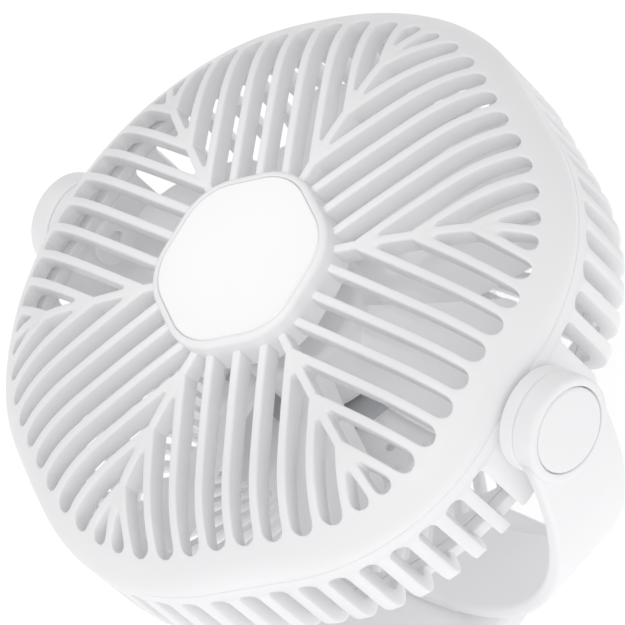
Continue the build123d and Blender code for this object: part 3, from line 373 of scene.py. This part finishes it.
def side_travel(length):
    """Distances along a side, close together near both ends, without the last end; and how many
    even steps lie between the margins."""
    margin = min(END_MARGIN, length / 3)
    between = max(2, round((length - 2 * margin) / SAMPLE_STEP))
    lead = margin * END_SHARES
    run = np.linspace(margin, length - margin, between + 1)
    return np.concatenate([lead, run, length - lead[:0:-1]]), between


def cell_ring(corners, radii):
    """Cell edge and slot outline, sample by sample.

    The slot is the cell drawn in by half a rib, its corners replaced by arcs. Each side has the
    same number of samples on the cell's edge as on the outline: three on each half arc and
    more between them."""
    ahead = unit(np.roll(corners, -1, axis=0) - corners)
    inward = np.stack([-ahead[:, 1], ahead[:, 0]], axis=1)
    before = np.roll(inward, 1, axis=0)
    spread = 1 + np.sum(inward * before, axis=1, keepdims=True)
    inset = corners + HALF_RIB * (inward + before) / spread
    half_turn = np.arccos(np.clip(np.sum(inward * before, axis=1), -1, 1)) / 2
    middle = inset + (inward + before) / spread * radii[:, None]
    edge, outline = [], []
    for side in range(len(corners)):
        following = (side + 1) % len(corners)
        travel, between = side_travel(np.linalg.norm(corners[following] - corners[side]))
        edge.append(corners[side] + travel[:, None] * ahead[side])
        third = np.array([0, 1, 2]) / 3

        def arc(corner, share):
            """Half of a corner's arc: share 0 is its middle and 1 is where this side starts."""
            away, normal = ahead[side], -inward[side]
            swing = half_turn[corner] * (1 - share) * (1 if corner == following else -1)
            return middle[corner] + radii[corner] * (
                np.cos(swing)[:, None] * normal + np.sin(swing)[:, None] * away)

        start, stop = arc(side, third), arc(following, third[::-1])
        first, last = arc(side, np.array([1.0])), arc(following, np.array([1.0]))
        straight = first + np.linspace(0, 1, between + 1)[:, None] * (last - first)
        outline.append(np.concatenate([start, straight, stop[:-1]]))
    return np.concatenate(edge), np.concatenate(outline)


# %% [markdown]
# ### The section of a rib
# The section across half a rib: flat on the crest, a rounded edge, a straight wall, a small
# bevel below, and the underside. Offsets are measured from the slot's outline, so that the
# rounding keeps its size all the way round the slot.

# %% The section of a rib
EDGE_ROUND, FOOT_BEVEL = 0.62, 0.25
edge_swing = np.radians([0, 22.5, 45, 67.5, 90])
section_offset = np.concatenate([EDGE_ROUND * (1 - np.sin(edge_swing)), [0, FOOT_BEVEL]])
section_drop = np.concatenate([EDGE_ROUND * (1 - np.cos(edge_swing)),
                               [RIB_DEPTH - FOOT_BEVEL, RIB_DEPTH]])


def cell_surface(corners, radii):
    """Grid of (samples round the slot) x (section): plan from the ring, height from the dome."""
    edge, outline = cell_ring(corners, radii)
    toward = unit(edge - outline)
    plan = outline[:, None] + section_offset[None, :, None] * toward[:, None]
    plan = np.concatenate([edge[:, None], plan, edge[:, None]], axis=1)
    drop = np.concatenate([[0], section_drop, [RIB_DEPTH]])
    height = dome(np.linalg.norm(plan, axis=-1)) - drop
    return np.concatenate([plan, height[..., None]], axis=-1)


def slot_end(across):
    """Distance along the sector's axis to the slot's end, from the outline drawn in by the rim."""
    flat, corner = HEAD_FLAT - RIM_BAND, HEAD_CORNER - RIM_BAND
    centre_y = (flat - corner) * math.tan(SECTOR / 2)
    beyond = max(0.0, abs(across) - centre_y)
    return flat - corner + math.sqrt(corner ** 2 - beyond ** 2)


ROWS = 5
rim_x = [slot_end(row * RIB_PITCH) + HALF_RIB for row in range(ROWS)]
line_flat, line_corner = HEAD_FLAT - RIM_BAND + HALF_RIB, HEAD_CORNER - RIM_BAND
arc_x, arc_y = line_flat - line_corner, (line_flat - line_corner - HALF_RIB) * math.tan(SECTOR / 2)
ray = np.array([math.cos(SECTOR / 2), math.sin(SECTOR / 2)])
along_ray = ray @ [arc_x, arc_y]
off_ray_squared = arc_x ** 2 + arc_y ** 2 - along_ray ** 2
spine_end = ray * (along_ray + math.sqrt(line_corner ** 2 - off_ray_squared))
print("rim line", np.round(rim_x, 2), "spine end", spine_end.round(2))

# %% [markdown]
# ### Five cells for half a sector
# Five cells make half a sector. The mirrored cells make its other half, and six turns make the
# grille.

# %% Cells of half a sector
ROOT_X = 2.6 * RIB_PITCH
SLOT_ROUND = (RIB_PITCH / 2 - HALF_RIB) * 0.998
TIP_ROUND = 0.5
CORNER_ROUND = 1.55


def spine_x(row):
    """Where the line between slots meets the spine: row * pitch * cot 30 degrees."""
    return row * RIB_PITCH / math.tan(SECTOR / 2)


half_sector = []
for row in range(ROWS):
    low, high = row * RIB_PITCH, (row + 1) * RIB_PITCH
    inner_low = max(ROOT_X, spine_x(row))
    if row == ROWS - 1:
        cell = [(inner_low, low), (rim_x[row], low), tuple(spine_end)]
        rounds = [TIP_ROUND, CORNER_ROUND, CORNER_ROUND]
    else:
        cell = [(inner_low, low), (rim_x[row], low), (rim_x[row + 1], high),
                (max(ROOT_X, spine_x(row + 1)), high)]
        rounds = [TIP_ROUND, SLOT_ROUND, SLOT_ROUND, TIP_ROUND]
        if row == 1:
            cell.append((ROOT_X, ROOT_X * math.tan(SECTOR / 2)))
            rounds.append(TIP_ROUND)
    half_sector.append((np.array(cell, float), np.array(rounds, float)))
print([len(cell) for cell, _ in half_sector], "corners in each cell")

# %% [markdown]
# ### Rim and root
# Beyond the slots the rim is one smooth band. Each rim sample is carried outward over the dome,
# rolled over the edge, taken down the short side to the parting line and back inside. The root
# of the ribs, hidden in the hub's wall, is closed with a plain strip.

# %% Rim and root strips
ROLL_WIDTH, ROLL_PULL, SIDE_PULL, ROLL_STEPS = 2.6, 1.5, 0.6, 6
SLOPE_STEP = 0.05
BAND_SHARES = np.array([0, 0.2, 0.45, 0.72, 1])
FOOT_INSETS = np.array([0, 0, 0.12, 0.35, 2.2, RIM_WALL, RIM_WALL])
FOOT_HEIGHTS = (0.35, 0.1, 0, 0, 0.15)
CEILING_GAP = 0.25


def bezier(start, pull_start, pull_end, end, steps):
    """(1-t)^3 a + 3(1-t)^2 t b + 3(1-t) t^2 c + t^3 d for evenly spaced t, ends left out."""
    t = np.linspace(0, 1, steps + 2)[1:-1]
    weights = ((1 - t) ** 3, 3 * (1 - t) ** 2 * t, 3 * (1 - t) * t ** 2, t ** 3)
    return sum(w * point[..., None] for w, point in
               zip(weights, (start, pull_start, pull_end, end)))


def rim_surface(line):
    """Grid of (samples along the rim line) x (section from the crest, over the edge, to the back)."""
    radius, angle = np.linalg.norm(line, axis=1), np.arctan2(line[:, 1], line[:, 0])
    reach = hexagon_reach(angle, HEAD_FLAT, HEAD_CORNER)
    top = reach - ROLL_WIDTH
    slope = (dome(top + SLOPE_STEP) - dome(top - SLOPE_STEP)) / (2 * SLOPE_STEP)
    side_top = (dome(reach) + PARTING) / 2
    corner_height = dome(top) + ROLL_WIDTH * slope
    over_r = bezier(top, top + ROLL_PULL, reach, reach, ROLL_STEPS)
    over_z = bezier(dome(top), dome(top) + ROLL_PULL * slope,
                    side_top + SIDE_PULL * (corner_height - side_top), side_top, ROLL_STEPS)
    band = radius[:, None] + (top - radius)[:, None] * BAND_SHARES
    foot_r = reach[:, None] - FOOT_INSETS
    ceiling = np.maximum(dome(reach - RIM_WALL) - RIB_DEPTH, PARTING + CEILING_GAP)
    lip = [np.full_like(reach, PARTING + height) for height in FOOT_HEIGHTS]
    foot_z = np.stack([side_top, *lip, ceiling], axis=1)
    r = np.concatenate([band, over_r, foot_r, radius[:, None]], axis=1)
    z = np.concatenate([dome(band), over_z, foot_z, dome(radius)[:, None] - RIB_DEPTH], axis=1)
    return polar(r, angle[:, None], z)


rim_corners = [cell[1] for cell, _ in half_sector] + [spine_end]
rim_line = np.concatenate([
    a + side_travel(np.linalg.norm(b - a))[0][:, None] * unit(b - a)
    for a, b in zip(rim_corners[:-1], rim_corners[1:])] + [spine_end[None]])
root_edges = [cell_ring(*cell)[0] for cell in half_sector[:2]]
root_line = np.concatenate([edge[np.abs(edge[:, 0] - ROOT_X) < 1e-6] for edge in root_edges])
root_line = root_line[np.argsort(root_line[:, 1])]
root_line = root_line[np.append(True, np.diff(root_line[:, 1]) > 1e-6)]
crest = dome(np.linalg.norm(root_line, axis=1))
root_strip = np.stack([np.column_stack([root_line, crest]),
                       np.column_stack([root_line, crest - RIB_DEPTH])], axis=1)
print(len(rim_line), "rim samples and", len(root_line), "root samples in half a sector")

# %% [markdown]
# ### The hub's bowl
# The hub is a shallow bowl: a wall rounded at the top, and a groove for the cap behind a soft
# lip. A revolved section would make it round; carrying one closed loop along the hexagon by
# drawing the outline in keeps its six sides.

# %% A section carried round the hexagon
def round_hexagon(section, flat, corner, samples=144):
    """Grid of (samples round) x (section): reach of the outline drawn in by u, at height v."""
    angle = np.linspace(0, 2 * math.pi, samples, endpoint=False)[:, None]
    inset, height = np.asarray(section, float).T
    return polar(hexagon_reach(angle, flat - inset, corner - inset), angle, height)


def rounded(points, radii, steps=4):
    """Closed polygon with each corner replaced by an arc of its own radius.

    Corner arc = centre + r * (cos, sin), swept between the normals of the sides that meet."""
    points, radii = np.asarray(points, float), np.broadcast_to(radii, len(points)).astype(float)
    ahead = unit(np.roll(points, -1, axis=0) - points)
    turn_way = np.sign(np.sum(points[:, 0] * np.roll(points[:, 1], -1)
                              - points[:, 1] * np.roll(points[:, 0], -1)))
    after = turn_way * np.stack([-ahead[:, 1], ahead[:, 0]], axis=1)
    before = np.roll(after, 1, axis=0)
    behind = np.roll(ahead, 1, axis=0)
    bend = turn_way * (behind[:, 0] * ahead[:, 1] - behind[:, 1] * ahead[:, 0])
    radii = np.where(bend < 0, -radii, radii)
    spread = (1 + np.sum(before * after, axis=1))[:, None]
    middle = points + radii[:, None] * (before + after) / spread
    share = np.linspace(0, 1, steps + 1)[None, :, None]
    swept = unit(before[:, None] * (1 - share) + after[:, None] * share)
    loop = middle[:, None] - radii[:, None, None] * swept
    keep = np.ones((len(points), steps + 1), bool)
    keep[np.abs(radii) < 1e-9, 1:] = False
    return loop[keep]


HUB_FOOT, HUB_FLOOR = 17.4, 25.0
HUB_LIP, HUB_WALL = 1.5, 3.5
hub_section = rounded([(0, HUB_FOOT), (0, HUB_TOP), (HUB_LIP, HUB_TOP), (HUB_LIP, HUB_FLOOR),
                       (HUB_WALL, HUB_FLOOR), (HUB_WALL, HUB_FOOT)],
                      [0.3, 1.2, 0.28, 0.1, 0.3, 0.3], steps=6)
print(len(hub_section), "points in the hub's section")

# %% [markdown]
# ### The whole grille
# The real grille is one moulding with six like sectors, each alike to its mirror image. Modelling
# it whole would repeat the same half sector twelve times, so that half is made once and placed by
# a mirror and a turn, and the hub's ring is laid over the roots of the ribs.

# %% Grille
def turned(grid, angle, mirror=1):
    """Mirrored across the x axis if mirror is -1, then turned about the head's axis."""
    x, y, z = grid[..., 0], mirror * grid[..., 1], grid[..., 2]
    return np.stack([np.cos(angle) * x - np.sin(angle) * y,
                     np.sin(angle) * x + np.cos(angle) * y, z], axis=-1)


grille = Skin()
for sector in range(6):
    for mirror in (1, -1):
        for cell, rounds in half_sector:
            grille.add(turned(cell_surface(cell, rounds), sector * SECTOR, mirror), close_rows=True)
        grille.add(turned(rim_surface(rim_line), sector * SECTOR, mirror))
        grille.add(turned(root_strip, sector * SECTOR, mirror))
grille.add(round_hexagon(hub_section, HUB_FLAT, HUB_CORNER), close_rows=True, close_columns=True)
grille.make("grille_skin", "head", "white_satin", ["front_grille"], sharp=50)

# %% [markdown]
# ## The hub cap
# The cap is polished and a little dished, which draws out long soft reflections. It is a lens
# of rings from the middle out to its rounded edge, closed below. The dish is height = middle +
# dish * share squared, where share is the way from the middle to the edge.

# %% Hub cap
CAP_EDGE, CAP_ROUND = 1.60, 0.3
CAP_MIDDLE, CAP_DISH, CAP_SHOULDER = 0.5, 0.42, 0.38
CAP_BEVEL, CAP_BACK = 25.5, 25.2
ring_share = np.array([0.0, 0.12, 0.25, 0.4, 0.55, 0.7, 0.82, 0.92, 0.975])
edge_turn = np.radians([0, 30, 60, 90])
cap_inset = np.concatenate([HUB_FLAT - (HUB_FLAT - CAP_EDGE) * ring_share,
                            CAP_EDGE + CAP_ROUND * (1 - np.sin(edge_turn)),
                            [CAP_EDGE, CAP_EDGE + CAP_ROUND, HUB_FLAT]])
cap_height = np.concatenate([HUB_TOP - CAP_MIDDLE + CAP_DISH * ring_share ** 2,
                             HUB_TOP - CAP_SHOULDER + CAP_ROUND * np.cos(edge_turn),
                             [CAP_BEVEL, CAP_BACK, CAP_BACK]])


def cap_grid(samples=144):
    """Rings of the hexagon shrunk in proportion, so that they close to a point in the middle."""
    angle = np.linspace(0, 2 * math.pi, samples, endpoint=False)[:, None]
    share = (HUB_FLAT - cap_inset) / (HUB_FLAT - CAP_EDGE)
    reach = hexagon_reach(angle, HUB_FLAT - CAP_EDGE, HUB_CORNER - CAP_EDGE)
    return polar(reach * share, angle, cap_height)


cap = Skin()
cap.add(cap_grid(), close_rows=True)
cap.make("cap_lens", "head", "white_gloss", ["hub_cap"], sharp=60)

# %% [markdown]
# ## The rear shell
# Fifty thin fins, one every six degrees, run back along the side of the head and curve in behind
# it. Near each pivot the wall is plain. One rule makes both: a block between two angles, whose
# outer face follows the hexagon down the side and round the rear corner. The gaps between fins
# are parallel slots, so a fin is wider outside than inside, and it spreads at its front end where
# the slot ends in a half round. There the fins would just touch, so a hair's breadth is kept
# between them: each is a closed shell of its own, and the band in front covers their ends.

# %% Blocks of the shell
FIN_ANGLE, FIRST_FIN, FINS_A_SIDE = math.radians(6), math.radians(18), 25
FIN_HALF_STEPS, PLAIN_HALF_STEPS = 0.5, 2.5
SLOT_HALF, SLOT_TOP, FIN_PARTING = 2.05, PARTING - 2.9, 0.03
SIDE_STATIONS = [-1.0, -6.0]
SMALLEST_REACH = 20


def side_path(top, steps=9):
    """(inset, height, lean of the normal) down the side and round the rear quarter circle."""
    straight_z = np.concatenate([np.linspace(top, top - SLOT_HALF, 7), SIDE_STATIONS])
    turn = np.linspace(0, math.pi / 2, steps)
    inset = np.concatenate([np.zeros(len(straight_z)), REAR_ROUND * (1 - np.cos(turn))])
    height = np.concatenate([straight_z, REAR_PLANE + REAR_ROUND * (1 - np.sin(turn))])
    lean = np.concatenate([np.zeros(len(straight_z)), turn])
    return inset, height, lean


def slot_half_width(height):
    """Half width of a slot: full, then root of (half width squared - over squared) at its round
    front end. The parting, added inside the root, keeps that end from closing fully."""
    over = np.clip(height - (SLOT_TOP - SLOT_HALF), 0, SLOT_HALF)
    return np.sqrt(SLOT_HALF ** 2 - over ** 2 + FIN_PARTING ** 2)


def shell_block(centre, half_slots, samples=2):
    """Grid of (path) x (section) of one block half_slots slot steps wide to each side.

    The section runs over the outer face, down one flank, back under and up the other."""
    inset, height, lean = side_path(SLOT_TOP)
    across = np.linspace(-1, 1, samples)
    outer = np.column_stack([across * 0.86, np.zeros(samples)])
    flank = np.array([[0.955, 0.12], [1, 0.5], [1, FIN_DEPTH - 0.3], [0.9, FIN_DEPTH]])
    section = np.concatenate([outer, flank, (flank * [-1, 1])[::-1]])
    share, depth = section[:, 0][None], section[:, 1][None]
    thinned = np.clip(depth - (FIN_DEPTH - REAR_WALL) * np.sin(lean)[:, None], 0, None)
    thick = np.where(depth > 1, thinned, depth)
    guess = hexagon_reach(centre, HEAD_FLAT, HEAD_CORNER) - inset[:, None] - thick
    slot = np.arcsin(np.clip(slot_half_width(height)[:, None] / np.maximum(guess, SMALLEST_REACH),
                             0, 1))
    angle = centre + share * (half_slots * FIN_ANGLE - slot)
    reach = hexagon_reach(angle, HEAD_FLAT, HEAD_CORNER) - inset[:, None]
    return polar(reach - thick * np.cos(lean)[:, None], angle,
                 height[:, None] + thick * np.sin(lean)[:, None])


shell = Skin()
for side in (0, math.pi):
    for k in range(FINS_A_SIDE):
        shell.add(shell_block(side + FIRST_FIN + k * FIN_ANGLE, FIN_HALF_STEPS),
                  close_columns=True, caps=True)
    shell.add(shell_block(side, PLAIN_HALF_STEPS, samples=13), close_columns=True, caps=True)
band = rounded([(0, PARTING), (0, SLOT_TOP), (FIN_DEPTH, SLOT_TOP), (FIN_DEPTH, PARTING)],
               [0.35, 0.02, 0.3, 0.3])
shell.add(round_hexagon(band, HEAD_FLAT, HEAD_CORNER, 192), close_rows=True, close_columns=True)
print(2 * FINS_A_SIDE, "fins and two plain blocks under one band")

# %% [markdown]
# ### The ring behind the fins and the pads at the pivots
# The ring that holds the rear guard and the pads that carry the pivots are turned shapes. Each is
# a section spun about an axis: the head's for the ring, the tilt axis for the pads. The collars
# and the yoke's eyes are made the same way further on.

# %% Spinning a section
def spun(section, samples=96):
    """Grid of (samples round) x (section): radius u at height v, about the z axis."""
    angle = np.linspace(0, 2 * math.pi, samples, endpoint=False)[:, None]
    radius, height = np.asarray(section, float).T
    return polar(radius, angle, height)


RING_LEDGE, RING_SEAT, RING_OUTER, LEDGE_HEIGHT = 54.4, 55.2, 57.5 + 0.3, 1.5
ring = rounded([(RING_SEAT, REAR_PLANE + LEDGE_HEIGHT), (RING_LEDGE, REAR_PLANE + LEDGE_HEIGHT),
                (RING_LEDGE, REAR_PLANE), (RING_OUTER, REAR_PLANE),
                (RING_OUTER, REAR_PLANE + REAR_WALL), (RING_SEAT, REAR_PLANE + REAR_WALL)],
               [0.05, 0.1, 0.3, 0.3, 0.3, 0.2])
shell.add(spun(ring, 120), close_rows=True, close_columns=True)


def on_pivot(grid, side):
    """A section spun about z is laid on the tilt axis: its z is the distance out on this side."""
    return np.stack([side * grid[..., 2], grid[..., 1], side * -grid[..., 0]], axis=-1)


PIVOT_HOLE, BOSS_RADIUS, PAD_RADIUS = 2.0, 5.5, 9.4
BOSS_INNER, PAD_INNER, PAD_FACE = 57.6, 60, 64.4
boss = rounded([(PIVOT_HOLE, BOSS_INNER), (BOSS_RADIUS, BOSS_INNER), (BOSS_RADIUS, PAD_INNER),
                (PAD_RADIUS, PAD_INNER), (PAD_RADIUS, PAD_FACE), (PIVOT_HOLE, PAD_FACE)],
               [0.2, 0.3, 0.3, 0.3, 0.35, 0.2])
PAD_CLEARANCE = 0.02
for side in (1, -1):
    pad = on_pivot(spun(boss, 72), side)
    pad[..., 2] = np.minimum(pad[..., 2], PARTING - PAD_CLEARANCE)
    shell.add(pad, close_rows=True, close_columns=True)
shell.make("shell_skin", "head", "white_satin", ["rear_shell"], sharp=45)

# %% [markdown]
# ## The blade wheel
# Seven blades stand on a hub. A blade is an aerofoil whose chord grows and whose pitch flattens
# toward the tip, wrapped round the axis so that it follows its circle. At the tip the thickness
# falls to nothing, which closes the skin.

# %% Blades
BLADES = 7
ROOT_RADIUS, TIP_RADIUS = 14.4, 54.3
ROOT_CHORD, TIP_CHORD = 17, 33
ROOT_PITCH, PITCH_FALL = 44, 20
TRIM_START, TRIM_SHARE = 0.86, 0.30
FADE_SPAN = 0.035
CAMBER, SWEEP, BLADE_LEVEL = 0.05, 6.0, -2.4
NOSE_WEIGHT, MIDDLE_WEIGHT, TAIL_WEIGHT = 1.9, 0.32, 0.12
TIP_SPANS = [0.965, 0.985, 0.996, 1.0]


def blade_surface(rows=22, half=9):
    """Grid of (span) x (round the section), with x running from nose to tail.

    Chord, pitch and sweep change with span. Half thickness = nose * (sqrt(x) - x)
    + middle * x (1 - x) + tail * sqrt(x (1 - x)), and camber = 4 c x (1 - x)."""
    span = np.concatenate([np.linspace(0, 0.93, rows - len(TIP_SPANS)), TIP_SPANS])[:, None]
    radius = ROOT_RADIUS + (TIP_RADIUS - ROOT_RADIUS) * span
    trim = 1 - TRIM_SHARE * np.clip((span - TRIM_START) / 0.14, 0, 1) ** 2.5
    chord = (ROOT_CHORD + (TIP_CHORD - ROOT_CHORD) * span ** 0.85) * trim
    pitch = np.radians(ROOT_PITCH - PITCH_FALL * span ** 0.8)
    x = (1 - np.cos(np.linspace(0, math.pi, half))) / 2
    thick = (NOSE_WEIGHT * (np.sqrt(x) - x) + MIDDLE_WEIGHT * x * (1 - x)
             + TAIL_WEIGHT * np.sqrt(x * (1 - x)))
    x_loop = np.concatenate([x, x[-2:0:-1]])[None]
    t_loop = np.concatenate([thick, -thick[-2:0:-1]])[None]
    fade = np.sqrt(np.clip((1 - span) / FADE_SPAN, 0, 1))
    camber = CAMBER * 4 * x_loop * (1 - x_loop)
    along = (x_loop - 0.5) * chord
    rise = camber * chord + t_loop * fade
    sweep = SWEEP * span ** 1.6
    tangential = sweep + along * np.cos(pitch) - rise * np.sin(pitch)
    height = BLADE_LEVEL + along * np.sin(pitch) + rise * np.cos(pitch)
    return polar(radius, tangential / radius, np.broadcast_to(height, (len(span), x_loop.size)))


wheel = Skin()
for k in range(BLADES):
    wheel.add(turned(blade_surface(), k * 2 * math.pi / BLADES), close_columns=True, caps=True)
hub_shell = rounded([(0.0, 5.6), (15.2, 5.6), (15.2, -10.5), (13.25, -10.5), (13.25, 3.6),
                     (1.05, 3.6), (1.05, 5.05), (0.0, 5.05)],
                    [0, 1.7, 0.3, 0.2, 0.3, 0.05, 0.05, 0], steps=5)
wheel.add(spun(hub_shell, 96), close_rows=True)
wheel.make("blade_wheel", "rotor", "fan_white", ["impeller"], sharp=50)

# %% [markdown]
# ## The yoke
# The yoke is a band bent to half an ellipse, with a round eye at each end. The band is a rounded
# rectangle carried along the ellipse; each eye is a spun section whose outer edge is rounded
# and whose face is recessed for a cap.

# %% Yoke band and eyes
YOKE_REACH, YOKE_DROP = 71.8, 75.0
BAND_HALF, BAND_THICK, BAND_ROUND = 10.7, 3.2, 0.9
EYE_INNER, EYE_OUTER, EYE_FLOOR = 67.9, 73.0, 67.9 + 2.0
EYE_HOLE, EYE_RECESS = 2.03, 8.9


def band_surface(samples=120):
    """Grid of (path) x (section): between the outer and the inner half ellipse by depth."""
    t = np.linspace(-math.pi / 2, math.pi / 2, samples)[:, None]
    section = rounded([(-BAND_HALF, 0), (BAND_HALF, 0), (BAND_HALF, BAND_THICK),
                       (-BAND_HALF, BAND_THICK)], BAND_ROUND, steps=4)
    width, depth = section[:, 0][None], section[:, 1][None]
    x = (YOKE_REACH - depth) * np.sin(t)
    z = PIVOT[2] - (YOKE_DROP - depth) * np.cos(t)
    return np.stack([x, np.broadcast_to(width, x.shape), z], axis=-1)


def in_world_pivot(grid, side):
    """A section spun about z, laid on the tilt axis in world millimetres."""
    return on_pivot(grid, side) + PIVOT


yoke = Skin()
yoke.add(band_surface(), close_columns=True, caps=True)
eye = rounded([(EYE_HOLE, EYE_INNER), (BAND_HALF, EYE_INNER), (BAND_HALF, EYE_OUTER),
               (EYE_RECESS, EYE_OUTER), (EYE_RECESS, EYE_FLOOR), (EYE_HOLE, EYE_FLOOR)],
              [0.1, 0.5, 0.9, 0.2, 0.2, 0.1], steps=5)
for side in (1, -1):
    yoke.add(in_world_pivot(spun(eye, 96), side), close_rows=True, close_columns=True)
yoke.make("yoke_skin", "stand", "white_satin", ["yoke"], sharp=50, place=world)

# %% [markdown]
# ## Caps and collars
# A round cap hides the bolt in each eye, and a collar fills the space between the head and the
# eye. The cap is a cup with its mouth inward, which leaves room for the bolt's head; a plain
# disc would cut through it. The caps stay with the yoke, while the collars turn with the head.

# %% Caps in the eyes and collars beside the head
CAP_RADIUS, CUP_RADIUS = 8.6, 7.6
CAP_FACE, CUP_FLOOR, CAP_MOUTH = 73.1, 71.9, 69.9
COLLAR_RADIUS, COLLAR_FACE = 10.6, 67.6
cap_section = rounded([(0, CUP_FLOOR), (CUP_RADIUS, CUP_FLOOR), (CUP_RADIUS, CAP_MOUTH),
                       (CAP_RADIUS, CAP_MOUTH), (CAP_RADIUS, CAP_FACE), (0, CAP_FACE)],
                      [0, 0.2, 0.2, 0.2, 0.6, 0], steps=5)
collar_section = rounded([(PIVOT_HOLE, PAD_FACE), (COLLAR_RADIUS, PAD_FACE),
                          (COLLAR_RADIUS, COLLAR_FACE), (PIVOT_HOLE, COLLAR_FACE)],
                         [0.1, 0.3, 0.6, 0.1], steps=5)
for name, side in (("right", 1), ("left", -1)):
    disc = Skin()
    disc.add(in_world_pivot(spun(cap_section, 96), side), close_rows=True)
    disc.make(f"eye_cap_{name}", "stand", "white_satin", [f"pivot_cap_{name}"], place=world)
    collar = Skin()
    collar.add(on_pivot(spun(collar_section, 96), side), close_rows=True, close_columns=True)
    collar.make(f"collar_{name}", "head", "white_satin", [f"pivot_collar_{name}"])

# %% [markdown]
# ## Studio table and sky
# White plastic is shown by very gentle shading, so most of the light comes from everywhere: an
# even sky above, and a white table below that also gives off a little light of its own. The table
# belongs to no body, so it is not part of the fan.

# %% Table and sky
TABLE_GLOW, SKY_STRENGTH, TABLE_HALF = 0.44, 0.43, 6
floor_mesh = bpy.data.meshes.new("table")
floor_mesh.from_pydata([(x * TABLE_HALF, y * TABLE_HALF, 0)
                        for x, y in ((-1, -1), (1, -1), (1, 1), (-1, 1))], [], [(0, 1, 2, 3)])
table = bpy.data.objects.new("table", floor_mesh)
bpy.context.scene.collection.objects.link(table)
table_paint = bpy.data.materials.new("white table")
table_paint.use_nodes = True
table_shader = table_paint.node_tree.nodes["Principled BSDF"]
table_shader.inputs["Base Color"].default_value = (0.93, 0.93, 0.935, 1)
table_shader.inputs["Roughness"].default_value = 0.9
table_shader.inputs["Emission Color"].default_value = (1, 1, 1, 1)
table_shader.inputs["Emission Strength"].default_value = TABLE_GLOW
floor_mesh.materials.append(table_paint)

sky = bpy.data.worlds.new("studio")
bpy.context.scene.world = sky
sky.use_nodes = True
sky.node_tree.nodes["Background"].inputs["Color"].default_value = (0.99, 0.985, 1.0, 1)
sky.node_tree.nodes["Background"].inputs["Strength"].default_value = SKY_STRENGTH
print("table and sky give", TABLE_GLOW, "and", SKY_STRENGTH)

# %% [markdown]
# ## Lamps
# Three broad lamps lean the light to one side: a key above the front, one at the right, and a
# weak fill at the left, which also shows in the polished cap. A narrow spot from the key's place
# brightens the hub alone. It is aimed at the hub where it rests.

# %% Lamps
KEY_PLACE = (0.40, -0.62, 1.50)
AIM = Vector((0, 0, 0.06))


def lamp(name, place, power, size):
    """A square area lamp at place, aimed at the fan's head."""
    light = bpy.data.lights.new(name, "AREA")
    light.energy, light.size = power, size
    holder = bpy.data.objects.new(name, light)
    holder.location = place
    holder.rotation_euler = (AIM - Vector(place)).to_track_quat("-Z", "Y").to_euler()
    bpy.context.scene.collection.objects.link(holder)


lamp("key", KEY_PLACE, 5.2, 0.9)
lamp("front", (1.07, -0.56, 1.13), 4.0, 0.6)
lamp("fill", (-1.0, -0.03, 1.2), 1.4, 0.5)
hub_lamp = bpy.data.lights.new("hub lamp", "SPOT")
hub_lamp.energy, hub_lamp.shadow_soft_size = 16.0, 0.02
hub_lamp.spot_size, hub_lamp.spot_blend = math.radians(3.0), 1.0
hub_holder = bpy.data.objects.new("hub lamp", hub_lamp)
hub_holder.location = KEY_PLACE
hub_centre = Vector(head_to_world(np.array([0, 0, HUB_TOP])))
hub_holder.rotation_euler = (hub_centre - hub_holder.location).to_track_quat("-Z", "Y").to_euler()
bpy.context.scene.collection.objects.link(hub_holder)
print("hub lamp aimed at", [round(value, 4) for value in hub_centre])

# %% [markdown]
# ## Camera
# The fan is seen from above and to its right, with a long lens and the camera rolled so that
# the head fills the picture. Three directions at right angles fix the view, which is plainer
# than three angles when a camera is rolled.

# %% Camera
camera = bpy.data.objects.new("camera", bpy.data.cameras.new("camera"))
bpy.context.scene.collection.objects.link(camera)
FOCAL_LENGTH, SENSOR_WIDTH, VIEW_GAMMA = 289.6, 36.0, 1.4
camera.data.lens, camera.data.sensor_width = FOCAL_LENGTH, SENSOR_WIDTH
camera.data.clip_start, camera.data.clip_end = 0.05, 50
EYE = Vector((0.672, -0.352, 0.742))
RIGHT = Vector((0.687, 0.631, -0.361)).normalized()
FORWARD = Vector((-0.668, 0.352, -0.657)).normalized()
UP = RIGHT.cross(FORWARD).normalized()
camera.matrix_world = Matrix.Translation(EYE) @ Matrix((
    (RIGHT.x, UP.x, -FORWARD.x, 0), (RIGHT.y, UP.y, -FORWARD.y, 0),
    (RIGHT.z, UP.z, -FORWARD.z, 0), (0, 0, 0, 1)))
bpy.context.scene.camera = camera
bpy.context.scene.view_settings.view_transform = "Standard"
bpy.context.scene.view_settings.gamma = VIEW_GAMMA
print("camera", round(EYE.length, 3), "m from the origin")
